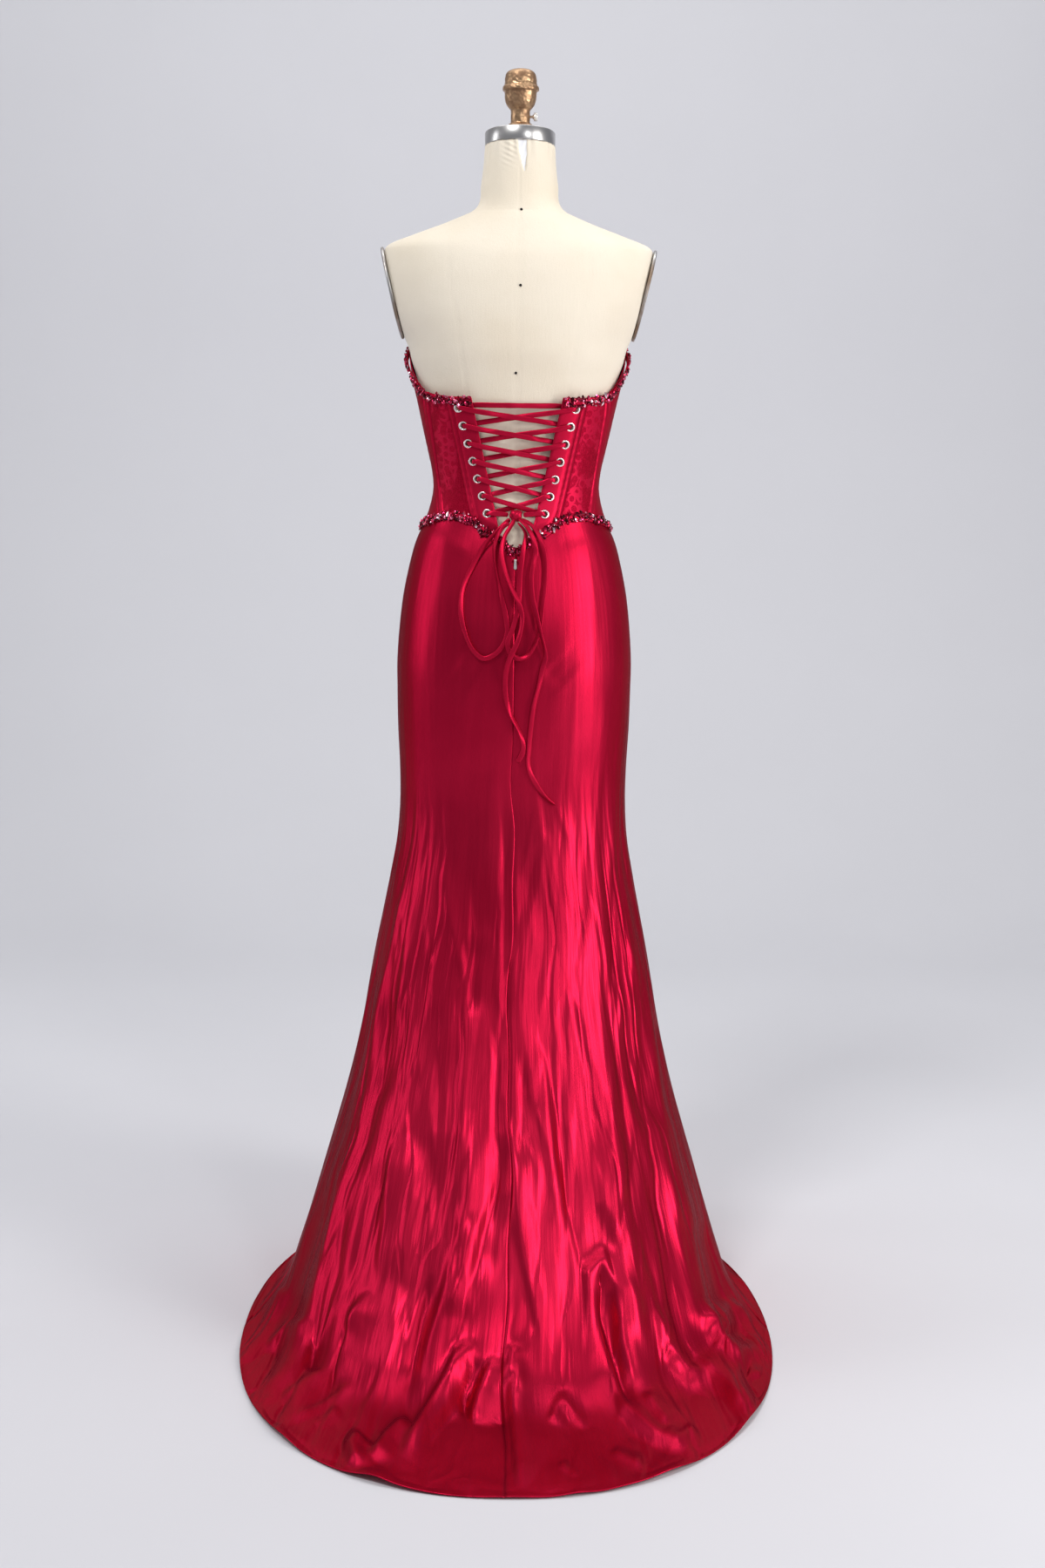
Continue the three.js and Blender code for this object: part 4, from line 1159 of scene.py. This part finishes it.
def padded_band(name, node, line, start, end, steps, loops):
    """The band under the stones: a flattened roll of cloth along the edge line."""
    phi = np.linspace(start, end, steps, endpoint=not loops)
    z = line(turned_back(phi))
    rings = [
        over(phi, z + PAD["half"] * math.sin(a), PAD["out"] + PAD["thick"] * math.cos(a))
        for a in circle(PAD["around"])
    ]
    points = np.stack(rings, 1).reshape(-1, 3)
    faces = grid_faces(steps, PAD["around"], loops, True)
    mesh_object(name, points * MM, faces, BAND, "beads", node=node)


def under_edge(angle):
    """The line of the neckline's trim, lower where the edge runs level across the back."""
    return NECKLINE(angle) - 1.5 - 3.5 * ease((75 - angle) / 20)


EDGE_Z = 1281  # of the corset's edge across the back
flap_end = float(phi_at(seam_x("flap", EDGE_Z) + 1, EDGE_Z))
round_front = (flap_end, 2 * math.pi - flap_end)
padded_band("neckline_band", "neckline_trim", under_edge, *round_front, 240, False)
beaded("neckline_crystals", under_edge, *round_front)
padded_band("waist_band", "waist_trim", WAISTLINE, 0, 2 * math.pi, 300, True)
beaded("waist_crystals", WAISTLINE, 0, 2 * math.pi)


# The form: canvas cover, neck ring, finial, screw and arm plates
COVER = Curve([row[0] for row in BODY_ROWS], [row[1:] for row in BODY_ROWS])
PLATE = {"x": 172.5, "z": 1422, "slope": 13.3 * DEG, "tall": 64, "deep": 46}
PRINCESS = Curve([1281, 1330, 1400, 1450, 1500], [72, 77, 86, 90, 92])
NECK_RADIUS = 50  # for angles round the neck
COLLAR_Z = 1531
NECK_RISE = 0.125  # the neck's top leans: its rise per mm of y


def plate_axis(side):
    """Outward normal of an arm plate."""
    return np.array([side * math.cos(PLATE["slope"]), 0, -math.sin(PLATE["slope"])])


def cover_point(phi, z, out=0):
    """The cover's surface in mm: the section's oval, with its rise, cut flat at the arm plates."""
    half, back, front, rise = np.moveaxis(COVER(z), -1, 0)
    hidden = ease((1345 - z) / 40) * 2.5
    x, y = oval(phi, half - hidden + out, back - hidden + out, front - hidden + out)
    point = np.stack([x, y, z + rise * y], -1)
    for side in (1, -1):
        axis = plate_axis(side)
        past = (point - [side * PLATE["x"], 0, PLATE["z"]]) @ axis
        point = point - axis * np.maximum(0, past + 0.1)[..., None]
    return point


def slit_share(x, level):
    """1 inside the tear under the neck ring, which narrows downward, and 0 outside."""
    half = 5.5 * np.clip((level - 1580) / 34, 0, 1) ** 0.7
    away = np.abs(x + 4 - 0.06 * (level - 1600))
    return ease((half - away) / 1.2 + 0.5) * (level > 1580)


def cover():
    """The torso's cover, with its seams, its collar seam, and the gathers and tear at its neck."""
    count = 240
    z = np.unique(np.r_[np.linspace(800, 1480, 100), np.linspace(1480, 1620, 90)])
    phi, level = np.meshgrid(circle(count), z)
    gathers = ease((level - 1592) / 28) * np.sin(phi * 23 + 2 * np.sin(phi * 5)) * 0.9
    near = np.abs(dress_point(phi, np.clip(level, 900, 1390))[..., 0])
    groove = 0
    for away in (near, np.abs(near - PRINCESS(np.clip(level, 1281, 1500)))):
        groove = groove - 0.7 * bell(away, 1.3) * (np.cos(phi) > 0) * (level < 1590)
    x = NECK_RADIUS * np.sin(phi)
    slit = slit_share(x, level) * (np.cos(phi) > 0)
    pulls = np.sin((x - 2 * level) / 2.2) * bell(x - 12, 9) * ease((level - 1575) / 30)
    collar = -0.6 * bell(level - COLLAR_Z, 1.2) * (np.cos(phi) > -0.2)
    relief = gathers + groove + collar - 3.2 * slit + 0.8 * pulls * (1 - slit)
    points = cover_point(phi, level, relief).reshape(-1, 3)
    ring = np.arange(count)
    caps = cap(ring) + cap(((len(z) - 1) * count + ring)[::-1])
    faces = np.concatenate([grid_faces(len(z), count, loop_columns=True), np.array(caps)])
    mesh_object("form_cover", points * MM, faces, CANVAS, "canvas", node="form_torso")


cover()


def lining():
    """White padding that shows in the tear."""
    x, level = np.meshgrid(np.linspace(-14, 6, 24), np.linspace(1576, 1621, 40))
    crumpled = -1.6 + 0.5 * np.sin(level / 3 + x / 2)
    points = cover_point(np.arcsin(x / NECK_RADIUS), level, crumpled).reshape(-1, 3)
    mesh_object("neck_lining", points * MM, grid_faces(*x.shape), LINING, "canvas")


lining()


def pins():
    """Three dark thread knots down the middle of the back, a little off its seam."""
    sets = []
    ball, faces = turned([(0.05, 1.4), (1.3, 1.1), (1.9, 0.3), (1.7, -0.3)], 12)
    back = upright(np.array([0, 1.0, 0]))
    for x, z in ((-3, COLLAR_Z), (-1, 1428), (1, 1312)):
        centre = cover_point(math.asin(x / 100), z)
        sets.append((centre + ball.reshape(-1, 3) @ back.T, faces))
    points, faces = joined(sets)
    mesh_object("form_pins", points * MM, faces, DARK, "stand")


pins()

NECK = {"radius": 48.5, "tall": 20, "y": -5.5, "low": 1620.3}


def neck_ring():
    r, tall = NECK["radius"], NECK["tall"]
    rows = [(0.01, 0.4), (r - 1, 0.4), (r - 0.3, 0.8), (r, 1.6), (r, tall - 1.4)]
    rows += [(r - 0.5, tall - 0.5), (r - 1.5, tall), (r - 6, tall), (r - 6.6, tall - 0.8)]
    rows += [(19, tall - 0.8), (18.6, tall - 0.2), (0.01, tall - 0.2)]
    shape, faces = turned(rows, 96)
    points = shape.reshape(-1, 3)
    turn = np.array(Matrix.Rotation(math.atan(NECK_RISE), 3, "X"))
    placed = points @ turn.T + [0, NECK["y"], NECK["low"] + NECK_RISE * NECK["y"]]
    mesh_object("neck_ring_steel", placed * MM, faces, STEEL, "steel", node="form_neck_ring")


neck_ring()

FINIAL_ROWS = [  # radius, height
    (18.2, 1640), (18.4, 1645), (17.8, 1648.3), (16, 1650.3), (13.6, 1651.6), (13.2, 1654),
    (13.2, 1660), (13.2, 1666), (13.8, 1669), (16.4, 1672), (19.2, 1676), (21, 1681),
    (21.8, 1687), (22, 1691), (22.6, 1693.4), (24.6, 1694.6), (25, 1697), (24.6, 1699.6),
    (22.8, 1701.6), (22, 1705), (21.6, 1711), (19.6, 1717.6), (15, 1721.4), (8, 1723.4),
    (0.05, 1724),
]


def finial():
    """The brass finial: its profile turned and hammered, its foot cut to the neck ring's lean."""
    last = len(FINIAL_ROWS) - 1
    rows = Curve(np.arange(last + 1), FINIAL_ROWS)(np.linspace(0, last, 150))
    shape, faces = turned(rows, 96)
    phi, level = circle(96), rows[:, 1:]
    dents = np.sin(phi * 9 + level / 2.3) * np.sin(level / 1.7 + 2 * np.sin(phi * 4)) * 0.25
    swell = 1 + dents * ((level > 1670) & (level < 1722)) / 22
    shape[..., :2] *= swell[..., None]
    points = shape.reshape(-1, 3)
    foot = points[:, 2] < 1641
    points[foot, 2] += NECK_RISE * points[foot, 1] - 1.2
    mesh_object("finial_brass", points * MM, faces, BRASS, "brass", node="form_finial")


finial()

SCREW = {"z": 1660.3, "from": -7.8, "head": -18.6, "end": -23.6}


def screw():
    """The clamp screw along -X: a plain shank, a collar, and a head with a milled rim."""
    long, head = SCREW["from"] - SCREW["end"], SCREW["from"] - SCREW["head"]
    rows = [(0.05, 0), (1.5, 0), (1.7, 0.4), (1.7, head - 2), (3, head - 1.8), (3.2, head - 0.2)]
    rows += [(5.2, head), (5.7, head + 0.6), (5.7, long - 0.7), (5.1, long), (3, long)]
    rows += [(2.7, long - 0.4), (0.05, long - 0.4)]
    shape, faces = turned(rows, 72)
    rim = slice(7, 9)
    shape[rim, :, :2] *= (1 - 0.05 * (np.arange(72) % 3 == 0))[None, :, None]
    points = shape.reshape(-1, 3)[:, [2, 1, 0]] * [-1, 1, 1] + [SCREW["from"], 0, SCREW["z"]]
    rides = {"node": "clamp_screw", "body": "clamp_screw"}
    mesh_object("clamp_screw_steel", points * MM, faces, NICKEL, "steel", **rides)


screw()


def arm_plate(word, side):
    """An oval plate with a rolled edge, set on the arm's flat."""
    rows = [(0.01, 0.4), (0.97, 0.4), (1, 1.4), (1, 3.8), (0.985, 4.6), (0.95, 5), (0.9, 4.6)]
    rows.append((0.01, 4.4))
    shape, faces = turned(rows, 72)
    axis = plate_axis(side)
    deep = np.array([0.0, 1, 0])
    turn = np.stack([deep * PLATE["deep"], np.cross(axis, deep) * PLATE["tall"], axis], -1)
    points = shape.reshape(-1, 3) @ turn.T + [side * PLATE["x"], 0, PLATE["z"]]
    node = "form_arm_plate_" + word
    mesh_object("arm_plate_steel_" + word, points * MM, faces, PLATE_STEEL, "steel", node=node)


for word, side in SIDES:
    arm_plate(word, side)

for node_name, finish in (
    ("zip_slider", SATIN),
    ("zip_pull", NICKEL),
    ("stand_pole", STAND),
    ("stand_base", STAND),
):
    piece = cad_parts[node_name]
    piece.data.materials.clear()
    piece.data.materials.append(finish)


# Floor, backdrop and light
STUDIO = {"width": 14, "floor_to": 6, "bend_from": -1.9, "bend": 1.6, "top": 5}


def studio():
    """Floor and backdrop as one sheet: flat, then a quarter circle, then straight up."""
    turn = np.linspace(0, math.pi / 2, 24)
    y = STUDIO["bend_from"] - STUDIO["bend"] * np.sin(turn)
    z = STUDIO["bend"] * (1 - np.cos(turn))
    profile = np.r_[[[STUDIO["floor_to"], 0]], np.c_[y, z], [[y[-1], STUDIO["top"]]]]
    sides = np.linspace(-STUDIO["width"] / 2, STUDIO["width"] / 2, 5)
    points = np.array([[x, *row] for row in profile for x in sides])
    faces = grid_faces(len(profile), len(sides))
    paper = plain("studio paper", (0.665, 0.665, 0.695), 0.9)
    add("studio", mesh("studio", points, faces, paper))


def soft_light(name, place, aim, size, power, colour=(1, 1, 1)):
    data = bpy.data.lights.new(name, "AREA")
    data.shape, data.size, data.size_y = "RECTANGLE", size[0], size[1]
    data.energy, data.color = power, colour
    lamp = add(name, data)
    lamp.location = place
    lamp.rotation_euler = (Vector(aim) - Vector(place)).to_track_quat("-Z", "Y").to_euler()


studio()
world = bpy.data.worlds.new("studio air")
world.use_nodes = True
air = world.node_tree.nodes["Background"].inputs
air["Color"].default_value, air["Strength"].default_value = (0.9, 0.92, 1, 1), 0.24
bpy.context.scene.world = world
soft_light("key", (-2.6, 1.55, 1.5), (0, 0, 0.8), (0.8, 2.5), 64, (1, 0.98, 0.96))
soft_light("fill", (2.9, 0.1, 1.6), (0, 0, 0.8), (0.7, 2.2), 17, (0.95, 0.97, 1))
soft_light("front", (1.3, 2.2, 4.2), (0, 0, 1.3), (0.9, 0.7), 68)
soft_light("side front", (-1.5, 3.1, 2.6), (0, 0, 0.8), (0.5, 0.9), 17)
soft_light("top", (0, -0.4, 3.6), (0, 0, 0), (3, 2.4), 20)
soft_light("backdrop", (0, -0.6, 4.2), (0, -3.6, 1.2), (5, 1), 60)
bpy.context.scene.view_settings.view_transform = "Standard"
